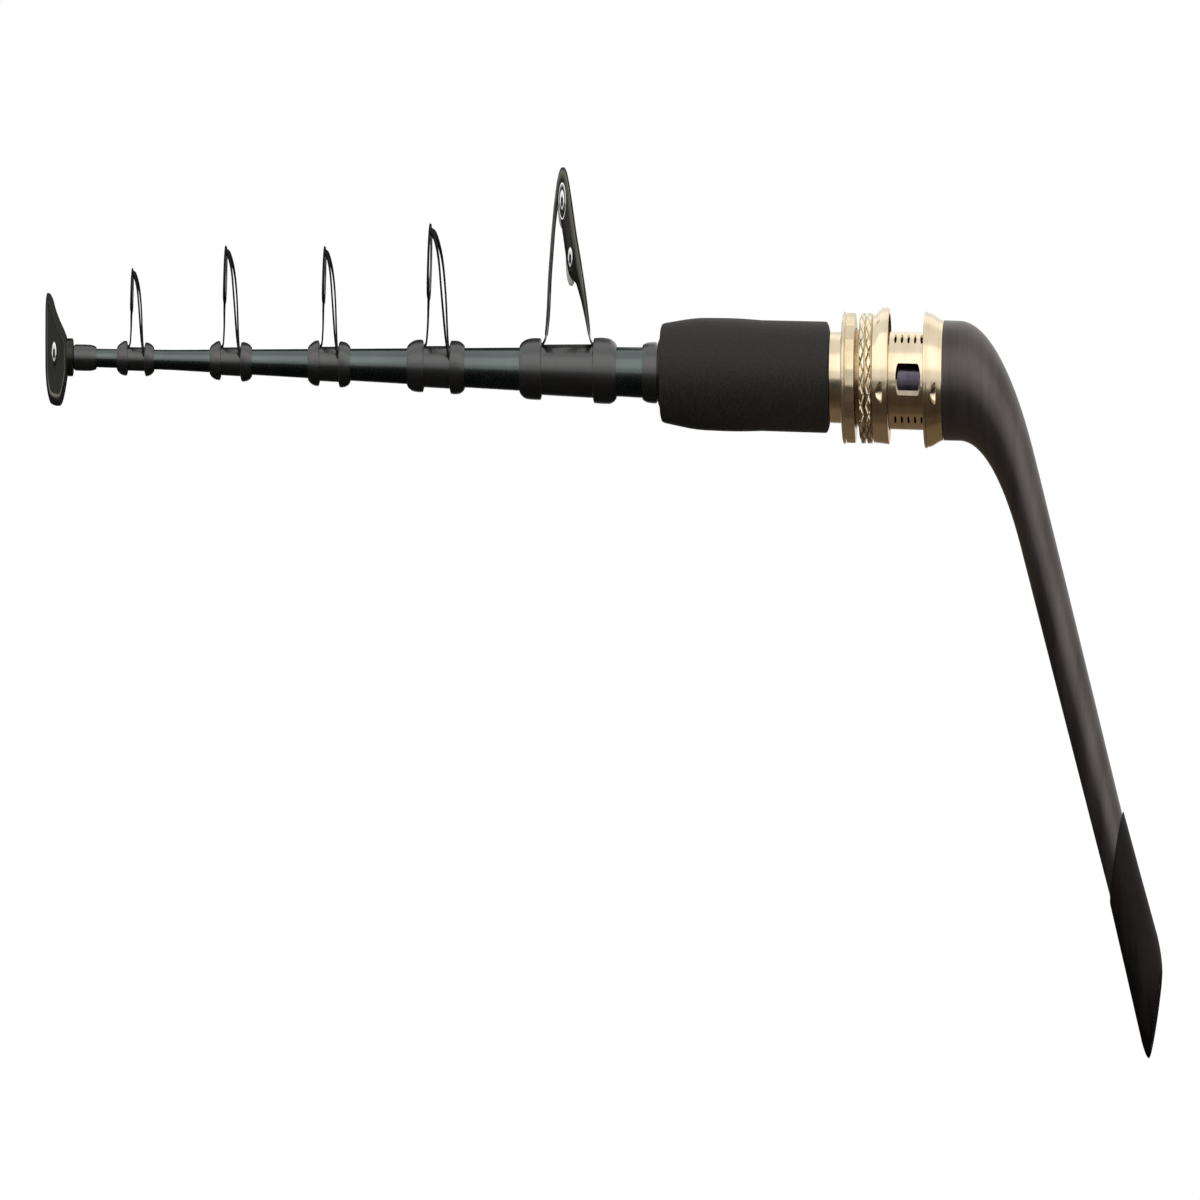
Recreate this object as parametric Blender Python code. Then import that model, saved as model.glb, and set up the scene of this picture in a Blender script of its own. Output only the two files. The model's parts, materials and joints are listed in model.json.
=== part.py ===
# A bent butt trolling rod, built as the separate pieces that it is made of.
# Metres, +Z up. The rod runs along X with its tip at -X and its guides standing up along +Z.
# The origin is the centre of the flat end of the rubber butt cap.

import math

import bmesh
import bpy
from mathutils import Vector

# Clearances between pieces that touch, and between pieces that move
FIT_GAP = 0.0003
RUN_GAP = 0.0004

# Bent butt tube
BUTT_ANGLE = math.radians(36.7)
BEND_RADIUS = 0.169
BUTT_STUB = 0.023
LEG_LENGTH = 0.236
BUTT_TOP_RADIUS = 0.0167
BUTT_END_RADIUS = 0.0140
BUTT_TAPER = 1.8
BUTT_WALL = 0.0022
BEND_STEPS = 9

# Rubber butt cap, and the slotted gimbal and its cross pin under it
CAP_LENGTH = 0.0725
CAP_END_WALL = 0.006
CAP_GAP = 0.0006
CAP_WALL = 0.0016
CAP_FLARE = 0.0010
CAP_BULGE_RADIUS = 0.0186
CAP_FACE_RADIUS = 0.0144
CAP_ROUND = 0.0120
CAP_ROUND_STEPS = 5
GIMBAL_HEAD_LENGTH = 0.032
GIMBAL_SPIGOT_LENGTH = 0.026
GIMBAL_SLOT_WIDTH = 0.0068
GIMBAL_SLOT_DEPTH = 0.012
GIMBAL_BORE_RADIUS = 0.0030
GIMBAL_PIN_RADIUS = 0.0020

# Reel seat barrel. Stations are distances ahead of the seat's rear end, towards the tip
BARREL_LENGTH = 0.1679
BARREL_RADIUS = 0.0140
BARREL_BORE_RADIUS = 0.0109
BARREL_FRONT_RADIUS = 0.0127
THREAD_RADIUS = 0.0137
THREAD_START = 0.106
THREAD_LENGTH = 0.0443
BARREL_REAR_START = 0.003
BED_HEIGHT = 0.0131
BED_REAR = 0.010
BED_FRONT = 0.100
SLOT_CENTRE = 0.0508
SLOT_LENGTH = 0.0335
SLOT_WIDTH = 0.0062
VENT_RADIUS = 0.0017
VENT_PITCH = 0.0097
VENT_COUNT = 5
VENT_ANGLE = math.radians(36)

# Fixed rear hood and sliding front hood
REAR_HOOD_LENGTH = 0.0284
REAR_HOOD_FLANGE_RADIUS = 0.0190
REAR_HOOD_FLANGE_LENGTH = 0.0055
REAR_HOOD_END_RADIUS = 0.0167
REAR_POCKET_RADIUS = 0.0168
REAR_POCKET_DEPTH = 0.0120
FRONT_HOOD_START = 0.0804
FRONT_HOOD_LENGTH = 0.0234
FRONT_HOOD_MOUTH_RADIUS = 0.0182
FRONT_HOOD_NUT_RADIUS = 0.0178
FRONT_HOOD_TOP_RADIUS = 0.0199
FRONT_POCKET_RADIUS = 0.0182
FRONT_POCKET_DEPTH = 0.0120
POCKET_HALF_WIDTH = 0.0105
SCOOP_ANGLE = math.radians(102)
SCOOP_RADIUS = 0.0027
SCOOP_DEPTH = 0.0014
FRONT_SCOOP_LENGTH = 0.0120
REAR_SCOOP_LENGTH = 0.0088

# Threaded nuts that push the front hood along
HOOD_NUT_LENGTH = 0.0197
HOOD_NUT_RADIUS = 0.0181
HOOD_NUT_GROOVE = 0.0012
NUT_GAP = 0.0060
JAM_NUT_LENGTH = 0.0200
JAM_NUT_RADIUS = 0.0183
JAM_NUT_FACETS = 12
JAM_COLLAR_LENGTH = 0.0060
JAM_COLLAR_RADIUS = 0.0184

# Inner sleeve that centres the blank in the barrel, and the ferrule that joins the butt
FERRULE_INSERT = 0.020
FERRULE_REACH = 0.026
FERRULE_BORE_RADIUS = 0.0060

# Foam foregrip, winding check and the wrap in front of it
GRIP_LENGTH = 0.2505
GRIP_REAR_RADIUS = 0.0155
GRIP_BELLY_RADIUS = 0.0157
GRIP_FRONT_RADIUS = 0.0137
CHECK_LENGTH = 0.0032
CHECK_RADIUS = 0.0094
GRIP_WRAP_LENGTH = 0.0220

# Tapered blank
BLANK_TIP_RADIUS = 0.0025
BLANK_MID_RADIUS = 0.0028
BLANK_BUTT_RADIUS = 0.0073
BLANK_MID_AHEAD = 1.142
BLANK_TIP_BORE = 0.0010
BLANK_BUTT_BORE = 0.0048
BLANK_TIP_AHEAD = 1.2965
BLANK_REAR_AHEAD = 0.024

# Ring guides, from the tip back. ahead is the ring's station; height is the ring centre above
# the rod's line; loop and wire are the frame's radii; front and rear are the leg bases' offsets
GUIDES = (
    dict(ahead=1.1980, height=0.0190, loop=0.00555, wire=0.00075, front=0.0032, rear=0.0159,
         front_wrap=0.0165, rear_wrap=0.0145),
    dict(ahead=1.0605, height=0.0241, loop=0.00740, wire=0.00080, front=0.0033, rear=0.0200,
         front_wrap=0.0170, rear_wrap=0.0170),
    dict(ahead=0.9146, height=0.0247, loop=0.00740, wire=0.00080, front=0.0037, rear=0.0188,
         front_wrap=0.0175, rear_wrap=0.0175),
    dict(ahead=0.7592, height=0.0292, loop=0.00990, wire=0.00090, front=0.0054, rear=0.0275,
         front_wrap=0.0250, rear_wrap=0.0220),
)
GUIDE_LEAN = math.radians(8)
RING_WALL = 0.0013
RING_LENGTH = 0.0026
LOOP_BREADTH = 1.8
FOOT_HALF_WIDTH = 0.0014
FOOT_THICKNESS = 0.0008
FOOT_SIDE_ANGLE = math.radians(55)
WRAP_COVER = 0.0006
WRAP_EDGE = 0.0003
WRAP_RAMP = 0.0050

# Roller axles: screw, nut and bushing, shared by the tip top and the stripper guide
AXLE_RADIUS = 0.0020
SCREW_HEAD_RADIUS = 0.0035
SCREW_HEAD_HEIGHT = 0.0016
SCREW_DRIVE_RADIUS = 0.0014
NUT_RADIUS = 0.0033
NUT_HEIGHT = 0.0020
BUSHING_WALL = 0.0010
ROLLER_RADIUS = 0.0075
ROLLER_WIDTH = 0.0076
ROLLER_GROOVE = 0.0016
PLATE_THICKNESS = 0.0015

# Roller stripper guide. Outline points are (along the rod, above the rod's line) from its peak
STRIPPER_AHEAD = 0.5622
STRIPPER_UPPER = (-0.0002, 0.0468)
STRIPPER_LOWER = (0.0119, 0.0310)
STRIPPER_FRONT_BASE = 0.0279
STRIPPER_REAR_BASE = 0.0411
STRIPPER_FRONT_WRAP = 0.0330
STRIPPER_REAR_WRAP = 0.0350
STRIPPER_STRAP = 0.0010
UNDERWRAP_THICKNESS = 0.0005
STRIPPER_FRONT_STRAP = ((-0.0199, 0.0215), (-0.0218, 0.0150), (-0.0249, 0.0095))
STRIPPER_REAR_STRAP = ((0.0322, 0.0188), (0.0350, 0.0150), (0.0389, 0.0098))
STRIPPER_OUTLINE = (
    (-0.0262, 0.0096), (-0.0238, 0.0140), (-0.0211, 0.0260), (-0.0170, 0.0368),
    (-0.0132, 0.0450),
    (-0.0084, 0.0524), (-0.0042, 0.0557), (0.0000, 0.0567), (0.0047, 0.0552),
    (0.0105, 0.0490), (0.0169, 0.0397), (0.0295, 0.0260), (0.0364, 0.0153),
    (0.0397, 0.0098), (0.0384, 0.0096), (0.0333, 0.0146), (0.0274, 0.0196),
    (0.0200, 0.0244), (0.0150, 0.0252),
    (0.0105, 0.0262), (0.0070, 0.0290), (0.0000, 0.0385), (-0.0058, 0.0455),
    (-0.0084, 0.0460), (-0.0126, 0.0392), (-0.0177, 0.0260), (-0.0202, 0.0150),
    (-0.0236, 0.0092),
)

# Roller tip top. Outline points are (along the rod, above the axle) from its axle
TIP_AHEAD = BLANK_TIP_AHEAD + 0.0149
TIP_AXLE_HEIGHT = 0.0009
TIP_TUBE_RADIUS = 0.0053
TIP_TUBE_END = 0.0272
TIP_TUBE_START = 0.0185
TIP_NECK_START = 0.0125
TIP_OUTLINE = (
    (-0.0103, 0.0170), (-0.0122, 0.0160), (-0.0133, 0.0130), (-0.0134, 0.0040),
    (-0.0132, -0.0050), (-0.0115, -0.0092), (-0.0087, -0.0122), (-0.0058, -0.0138),
    (-0.0010, -0.0143), (0.0030, -0.0145), (0.0065, -0.0145), (0.0092, -0.0139),
    (0.0120, -0.0123), (0.0148, -0.0096), (0.0170, -0.0068), (0.0178, -0.0056),
    (0.0178, 0.0042), (0.0120, 0.0069), (0.0060, 0.0093), (0.0000, 0.0122),
    (-0.0040, 0.0153), (-0.0080, 0.0166),
)
TIP_WRAP_LENGTH = 0.0335

# Number of sides of round pieces
SEGMENTS_LARGE = 28
SEGMENTS_MEDIUM = 20
SEGMENTS_SMALL = 12
WIRE_SIDES = 6
PATH_STEPS = 2

# Worked out from the sizes above
BEND_RISE = BEND_RADIUS * (1 - math.cos(BUTT_ANGLE))
BEND_RUN = BEND_RADIUS * math.sin(BUTT_ANGLE)
LINE_HEIGHT = LEG_LENGTH * math.sin(BUTT_ANGLE) + BEND_RISE
SEAT_REAR_X = -(LEG_LENGTH * math.cos(BUTT_ANGLE) + BEND_RUN + BUTT_STUB)
BARREL_FRONT = BARREL_LENGTH
GRIP_REAR = BARREL_FRONT + FIT_GAP
GRIP_FRONT = GRIP_REAR + GRIP_LENGTH
NUT_BORE_RADIUS = THREAD_RADIUS + RUN_GAP
HOOD_BORE_RADIUS = BARREL_RADIUS + RUN_GAP
HOOD_NUT_START = FRONT_HOOD_START + FRONT_HOOD_LENGTH + RUN_GAP
JAM_NUT_START = HOOD_NUT_START + HOOD_NUT_LENGTH + NUT_GAP
BUTT_TUBE_END = CAP_END_WALL + FIT_GAP + GIMBAL_HEAD_LENGTH + FIT_GAP
BUTT_END_BORE = BUTT_END_RADIUS - BUTT_WALL
CAP_BORE_RADIUS = BUTT_END_RADIUS + CAP_GAP
CAP_MOUTH_RADIUS = CAP_BORE_RADIUS + CAP_WALL
BUSHING_BORE = AXLE_RADIUS + FIT_GAP
BUSHING_RADIUS = BUSHING_BORE + BUSHING_WALL
ROLLER_BORE = BUSHING_RADIUS + RUN_GAP
PLATE_INNER = ROLLER_WIDTH / 2 + RUN_GAP
PLATE_OUTER = PLATE_INNER + PLATE_THICKNESS


# Scene and materials

def clear_scene():
    for thing in list(bpy.data.objects):
        bpy.data.objects.remove(thing, do_unlink=True)


def make_material(name, colour, roughness, metallic=0.0):
    material = bpy.data.materials.new(name)
    material.use_nodes = True
    shader = material.node_tree.nodes["Principled BSDF"]
    shader.inputs["Base Color"].default_value = (*colour, 1.0)
    shader.inputs["Roughness"].default_value = roughness
    shader.inputs["Metallic"].default_value = metallic
    material.diffuse_color = (*colour, 1.0)
    return material


def make_empty(name, place, turn=0.0):
    empty = bpy.data.objects.new(name, None)
    empty.location = place
    empty.rotation_euler = (0.0, turn, 0.0)
    empty.empty_display_size = 0.05
    bpy.context.collection.objects.link(empty)
    return empty


# Mesh building

def skin(rings, closed=False):
    """Joins rings of points into one closed surface, with end faces unless the rings meet."""
    shell = bmesh.new()
    rows = [[shell.verts.new(point) for point in ring] for ring in rings]
    count = len(rows)
    for i in range(count if closed else count - 1):
        here, there = rows[i], rows[(i + 1) % count]
        for k in range(len(here)):
            m = (k + 1) % len(here)
            shell.faces.new((here[k], here[m], there[m], there[k]))
    if not closed:
        shell.faces.new(rows[0][::-1])
        shell.faces.new(rows[-1])
    return shell


def ring_at(x, radius, segments, shape=None):
    """A ring round X. Angle 0 is the top, and a quarter turn is the side at -Y."""
    points = []
    for i in range(segments):
        angle = 2 * math.pi * i / segments
        reach = shape(angle, x, radius) if shape else radius
        points.append(Vector((x, -reach * math.sin(angle), reach * math.cos(angle))))
    return points


def turned(profile, segments, solid=False, shape=None):
    """Turns (x, radius) points about X. A hollow piece gives its whole wall as a closed loop."""
    rings = [ring_at(x, radius, segments, shape) for x, radius in profile]
    return skin(rings, closed=not solid)


def smooth_path(points, steps):
    """A Catmull-Rom curve through points, which may carry extra values after x, y and z."""
    rows = [tuple(p) for p in points]
    rows = [rows[0]] + rows + [rows[-1]]
    out = []
    for i in range(1, len(rows) - 2):
        a, b, c, d = rows[i - 1:i + 3]
        for k in range(steps):
            t = k / steps
            out.append(tuple(
                0.5 * (2 * q + (r - p) * t + (2 * p - 5 * q + 4 * r - s) * t ** 2
                       + (3 * q - p - 3 * r + s) * t ** 3)
                for p, q, r, s in zip(a, b, c, d)
            ))
    out.append(rows[-2])
    return out


def swept(path, across, sides=WIRE_SIDES, corner=1.0, steps=PATH_STEPS):
    """Sweeps an oval or square-cornered bar along (x, y, z, half width, half thickness)."""
    rows = smooth_path(path, steps)
    places = [Vector(row[:3]) for row in rows]
    across = Vector(across)
    rings = []
    for i, row in enumerate(rows):
        ahead = places[min(i + 1, len(rows) - 1)] - places[max(i - 1, 0)]
        ahead.normalize()
        side = (across - ahead * across.dot(ahead)).normalized()
        normal = ahead.cross(side)
        ring = []
        for k in range(sides):
            angle = 2 * math.pi * (k + 0.5) / sides
            u, v = math.cos(angle), math.sin(angle)
            u = math.copysign(abs(u) ** corner, u)
            v = math.copysign(abs(v) ** corner, v)
            ring.append(places[i] + side * (u * row[3]) + normal * (v * row[4]))
        rings.append(ring)
    return skin(rings)


def extruded(outline, low, high):
    """A flat plate with an (x, z) outline, between two places along Y."""
    plate = bmesh.new()
    near = [plate.verts.new((x, low, z)) for x, z in outline]
    far = [plate.verts.new((x, high, z)) for x, z in outline]
    plate.faces.new(near)
    plate.faces.new(far[::-1])
    for i in range(len(outline)):
        k = (i + 1) % len(outline)
        plate.faces.new((near[i], far[i], far[k], near[k]))
    return plate


def block(low, high):
    """A box between two corners."""
    shape = bmesh.new()
    bmesh.ops.create_cube(shape, size=1.0)
    for vert in shape.verts:
        for axis in range(3):
            vert.co[axis] = high[axis] if vert.co[axis] > 0 else low[axis]
    return shape


def place(name, shape, material, parent, at=(0.0, 0.0, 0.0), turn=(0.0, 0.0, 0.0)):
    bmesh.ops.recalc_face_normals(shape, faces=shape.faces)
    mesh = bpy.data.meshes.new(name)
    shape.to_mesh(mesh)
    shape.free()
    mesh.materials.append(material)
    mesh.shade_smooth()
    mesh.set_sharp_from_angle(angle=math.radians(35))
    piece = bpy.data.objects.new(name, mesh)
    piece.location = at
    piece.rotation_euler = turn
    piece.parent = parent
    bpy.context.collection.objects.link(piece)
    return piece


def combine(piece, others, operation):
    """Cuts the other pieces out of a piece, or joins them to it, and removes them."""
    for other in others:
        step = piece.modifiers.new(operation.title(), "BOOLEAN")
        step.operation = operation
        step.solver = "EXACT"
        step.object = other
    bpy.context.view_layer.update()
    view = bpy.context.evaluated_depsgraph_get()
    mesh = bpy.data.meshes.new_from_object(piece.evaluated_get(view))
    piece.modifiers.clear()
    piece.data = mesh
    mesh.shade_smooth()
    mesh.set_sharp_from_angle(angle=math.radians(35))
    for other in others:
        bpy.data.objects.remove(other, do_unlink=True)
    return piece


# Shared shapes

def blank_radius(ahead):
    """The blank's outer radius at a distance ahead of the seat's rear end."""
    if ahead < GRIP_FRONT:
        return BLANK_BUTT_RADIUS
    if ahead < BLANK_MID_AHEAD:
        share = (ahead - GRIP_FRONT) / (BLANK_MID_AHEAD - GRIP_FRONT)
        return BLANK_BUTT_RADIUS + (BLANK_MID_RADIUS - BLANK_BUTT_RADIUS) * share
    share = (ahead - BLANK_MID_AHEAD) / (BLANK_TIP_AHEAD - BLANK_MID_AHEAD)
    return BLANK_MID_RADIUS + (BLANK_TIP_RADIUS - BLANK_MID_RADIUS) * share


def wrap_shell(near, far, rise):
    """A thread wrap from its full end, near a guide, to its tapered end, both ahead distances."""
    way = 1 if far > near else -1
    edge = FIT_GAP + WRAP_EDGE
    stations = (
        (near, 0.62 * rise + 0.38 * edge),
        (near + way * 0.0012, 0.92 * rise),
        (near + way * 0.0035, rise),
        (far - way * WRAP_RAMP, 0.97 * rise),
        (far - way * 0.55 * WRAP_RAMP, 0.62 * rise + 0.38 * edge),
        (far, edge),
    )
    outer = [(-ahead, blank_radius(ahead) + height) for ahead, height in stations]
    inner = [(-ahead, blank_radius(ahead) + FIT_GAP) for ahead in (far, near)]
    return turned(outer + inner, SEGMENTS_SMALL)


def foot_rise(thickness):
    """How far a wrap stands out of the blank where it covers a foot of this thickness."""
    return FIT_GAP + thickness + FIT_GAP + WRAP_COVER


def foot_place(ahead, angle, thickness):
    """The middle of a foot's thickness, lying on the blank at an angle from the top."""
    reach = blank_radius(ahead) + FIT_GAP + thickness / 2
    return -ahead, -reach * math.sin(angle), reach * math.cos(angle)


def grown(path, extra):
    """The same path with a section that is larger all round."""
    return [(x, y, z, w + extra, t + extra) for x, y, z, w, t in path]


# Butt: bent tube, gimbal and rubber cap

def make_butt(mats, butt_line, rod_line):
    start = Vector((SEAT_REAR_X, 0.0, LINE_HEIGHT))
    bend_start = start + Vector((BUTT_STUB, 0.0, 0.0))
    centre = bend_start - Vector((0.0, 0.0, BEND_RADIUS))
    leg = Vector((math.cos(BUTT_ANGLE), 0.0, -math.sin(BUTT_ANGLE)))
    path = [(start, 0.0)]
    for i in range(BEND_STEPS + 1):
        angle = BUTT_ANGLE * i / BEND_STEPS
        spot = centre + Vector((math.sin(angle), 0.0, math.cos(angle))) * BEND_RADIUS
        path.append((spot, angle))
    path.append((-leg * BUTT_TUBE_END, BUTT_ANGLE))
    reach = [0.0]
    for (here, _), (there, _) in zip(path, path[1:]):
        reach.append(reach[-1] + (there - here).length)
    rings = []
    for wall in (0.0, BUTT_WALL):
        side = []
        for (spot, angle), gone in zip(path, reach):
            share = gone / reach[-1]
            taper = (BUTT_TOP_RADIUS - BUTT_END_RADIUS) * share ** BUTT_TAPER
            radius = BUTT_TOP_RADIUS - taper - wall
            up = Vector((math.sin(angle), 0.0, math.cos(angle)))
            side.append([
                spot + up * (radius * math.cos(a)) - Vector((0.0, radius * math.sin(a), 0.0))
                for a in (2 * math.pi * k / SEGMENTS_MEDIUM for k in range(SEGMENTS_MEDIUM))
            ])
        rings += side if wall == 0.0 else side[::-1]
    tube = place("butt_tube", skin(rings, closed=True), mats["black_tube"], None)

    head_end = CAP_END_WALL + FIT_GAP
    spigot_radius = BUTT_END_BORE - FIT_GAP
    tube_end = BUTT_TUBE_END
    spigot_end = tube_end + GIMBAL_SPIGOT_LENGTH
    gimbal = place("gimbal", turned([
        (-head_end, BUTT_END_RADIUS - 0.0012), (-head_end - 0.0012, BUTT_END_RADIUS),
        (-tube_end + FIT_GAP, BUTT_END_RADIUS), (-tube_end + FIT_GAP, spigot_radius),
        (-spigot_end + 0.001, spigot_radius), (-spigot_end, spigot_radius - 0.001),
        (-spigot_end, GIMBAL_BORE_RADIUS), (-head_end, GIMBAL_BORE_RADIUS),
    ], SEGMENTS_MEDIUM), mats["gold"], butt_line)
    slot_low = -head_end - GIMBAL_SLOT_DEPTH
    slots = []
    for quarter in range(2):
        cutter = place("gimbal_slot_cutter", block(
            (slot_low, -0.03, -GIMBAL_SLOT_WIDTH / 2), (0.01, 0.03, GIMBAL_SLOT_WIDTH / 2),
        ), mats["gold"], butt_line, turn=(quarter * math.pi / 2, 0.0, 0.0))
        slots.append(cutter)
    pin_at = -(tube_end + GIMBAL_SPIGOT_LENGTH / 2)

    def pin_shape(radius, reach):
        return turned([(-reach, radius), (reach, radius)], SEGMENTS_SMALL, solid=True)

    across = (0.0, 0.0, math.pi / 2)
    hole_radius = GIMBAL_PIN_RADIUS + FIT_GAP
    for piece, extra in ((gimbal, slots), (tube, [])):
        hole = place("gimbal_pin_hole", pin_shape(hole_radius, 2 * BUTT_END_RADIUS),
                     mats["gold"], butt_line, at=(pin_at, 0.0, 0.0), turn=across)
        combine(piece, extra + [hole], "DIFFERENCE")
    place("gimbal_pin", pin_shape(GIMBAL_PIN_RADIUS, BUTT_END_RADIUS - FIT_GAP),
          mats["steel"], butt_line, at=(pin_at, 0.0, 0.0), turn=across)

    cap = [
        (-CAP_END_WALL, CAP_BORE_RADIUS), (-CAP_LENGTH, CAP_BORE_RADIUS),
        (-CAP_LENGTH, CAP_MOUTH_RADIUS - 0.0005), (-CAP_LENGTH + 0.0008, CAP_MOUTH_RADIUS),
        (-0.62 * CAP_LENGTH, CAP_MOUTH_RADIUS + CAP_FLARE),
    ]
    for i in range(CAP_ROUND_STEPS + 1):
        turn = math.pi / 2 * i / CAP_ROUND_STEPS
        cap.append((-CAP_ROUND * (1 - math.sin(turn)),
                    CAP_FACE_RADIUS + (CAP_BULGE_RADIUS - CAP_FACE_RADIUS) * math.cos(turn)))
    place("gimbal_cap", turned(cap, SEGMENTS_LARGE, solid=True), mats["rubber"], butt_line)

    # Ferrule from the barrel into the butt tube
    shoulder = BARREL_REAR_START - FIT_GAP
    ferrule_radius = BUTT_TOP_RADIUS - BUTT_WALL - 2 * FIT_GAP
    insert_radius = BARREL_BORE_RADIUS - FIT_GAP
    place("butt_ferrule", turned([
        (FERRULE_REACH, FERRULE_BORE_RADIUS), (FERRULE_REACH, ferrule_radius - 0.0015),
        (FERRULE_REACH - 0.002, ferrule_radius - 0.0004), (-shoulder, ferrule_radius),
        (-shoulder, insert_radius), (-FERRULE_INSERT, insert_radius),
        (-FERRULE_INSERT, FERRULE_BORE_RADIUS),
    ], SEGMENTS_MEDIUM), mats["steel"], rod_line)


# Reel seat: barrel, sleeve, hoods and nuts

def make_barrel(mats, rod_line):
    thread_end = THREAD_START + THREAD_LENGTH
    barrel = place("seat_barrel", turned([
        (-BARREL_REAR_START, BARREL_BORE_RADIUS), (-BARREL_REAR_START, BARREL_RADIUS),
        (-THREAD_START, BARREL_RADIUS), (-THREAD_START - 0.0008, THREAD_RADIUS),
        (-thread_end, THREAD_RADIUS), (-thread_end - 0.0008, BARREL_FRONT_RADIUS),
        (-BARREL_FRONT + 0.0005, BARREL_FRONT_RADIUS),
        (-BARREL_FRONT, BARREL_FRONT_RADIUS - 0.0005), (-BARREL_FRONT, BARREL_BORE_RADIUS),
    ], SEGMENTS_LARGE), mats["gold"], rod_line)
    cutters = [place("bed_cutter", block(
        (-BED_FRONT, -0.03, BED_HEIGHT), (-BED_REAR, 0.03, 0.03),
    ), mats["gold"], rod_line)]
    half = (SLOT_LENGTH - SLOT_WIDTH) / 2
    slot = []
    for side in (1, -1):
        for i in range(9):
            turn = math.pi * i / 8
            slot.append((
                -SLOT_CENTRE + side * (half + SLOT_WIDTH / 2 * math.sin(turn)),
                side * SLOT_WIDTH / 2 * math.cos(turn),
            ))
    cutters.append(place("slot_cutter", extruded(slot, -0.03, 0.03), mats["gold"], rod_line))
    for lean in (VENT_ANGLE, -VENT_ANGLE):
        for i in range(VENT_COUNT):
            at = -SLOT_CENTRE + (i - (VENT_COUNT - 1) / 2) * VENT_PITCH
            cutters.append(place("vent_cutter", turned(
                [(-0.03, VENT_RADIUS), (0.03, VENT_RADIUS)], 6, solid=True,
            ), mats["gold"], rod_line, at=(at, 0.0, 0.0), turn=(lean, math.pi / 2, 0.0)))
    combine(barrel, cutters, "DIFFERENCE")

    sleeve_radius = BARREL_BORE_RADIUS - FIT_GAP
    place("seat_sleeve", turned([
        (-FERRULE_INSERT - FIT_GAP, BLANK_BUTT_RADIUS + FIT_GAP),
        (-FERRULE_INSERT - FIT_GAP, sleeve_radius),
        (-BARREL_FRONT + FIT_GAP, sleeve_radius),
        (-BARREL_FRONT + FIT_GAP, BLANK_BUTT_RADIUS + FIT_GAP),
    ], SEGMENTS_MEDIUM), mats["dark_steel"], rod_line)


def hood_scoops(mats, rod_line, middle, length, radius):
    """Cutters for the tapered scoop on each side of a hood, wide towards the butt."""
    half = length / 2
    wide = SCOOP_RADIUS
    cutters = []
    for hand in (1, -1):
        angle = hand * SCOOP_ANGLE
        reach = radius + wide - SCOOP_DEPTH
        cutters.append(place("scoop_cutter", turned([
            (-half, 0.10 * wide), (-0.5 * half, 0.60 * wide), (0.2 * half, 0.92 * wide),
            (0.55 * half, wide), (0.85 * half, 0.75 * wide), (half, 0.25 * wide),
        ], 12, solid=True), mats["gold"], rod_line,
            at=(-middle, -reach * math.sin(angle), reach * math.cos(angle))))
    return cutters


def make_rear_hood(mats, rod_line):
    end = REAR_HOOD_LENGTH + FIT_GAP
    flange = end - REAR_HOOD_FLANGE_LENGTH
    bore = BARREL_RADIUS + FIT_GAP
    hood = place("rear_hood", turned([
        (-FIT_GAP, bore), (-FIT_GAP, REAR_HOOD_END_RADIUS - 0.0006),
        (-FIT_GAP - 0.0006, REAR_HOOD_END_RADIUS),
        (-0.42 * flange, 0.65 * REAR_HOOD_END_RADIUS + 0.35 * REAR_HOOD_FLANGE_RADIUS),
        (-0.80 * flange, 0.35 * REAR_HOOD_END_RADIUS + 0.65 * REAR_HOOD_FLANGE_RADIUS),
        (-flange, REAR_HOOD_FLANGE_RADIUS - 0.0002),
        (-flange - 0.0010, REAR_HOOD_FLANGE_RADIUS), (-end + 0.0008, REAR_HOOD_FLANGE_RADIUS),
        (-end, REAR_HOOD_FLANGE_RADIUS - 0.0008), (-end, bore),
    ], SEGMENTS_LARGE), mats["gold"], rod_line)
    pocket = place("pocket_cutter", turned([
        (-end - 0.01, REAR_POCKET_RADIUS), (-end + REAR_POCKET_DEPTH, REAR_POCKET_RADIUS),
    ], SEGMENTS_LARGE, solid=True), mats["gold"], rod_line)
    sides = place("pocket_sides", block(
        (-end - 0.02, -POCKET_HALF_WIDTH, 0.25 * BARREL_RADIUS),
        (0.0, POCKET_HALF_WIDTH, 0.03),
    ), mats["gold"], rod_line)
    combine(pocket, [sides], "INTERSECT")
    scoops = hood_scoops(mats, rod_line, 0.45 * REAR_HOOD_LENGTH, REAR_SCOOP_LENGTH,
                         REAR_HOOD_END_RADIUS + 0.0007)
    return combine(hood, [pocket] + scoops, "DIFFERENCE")


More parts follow.
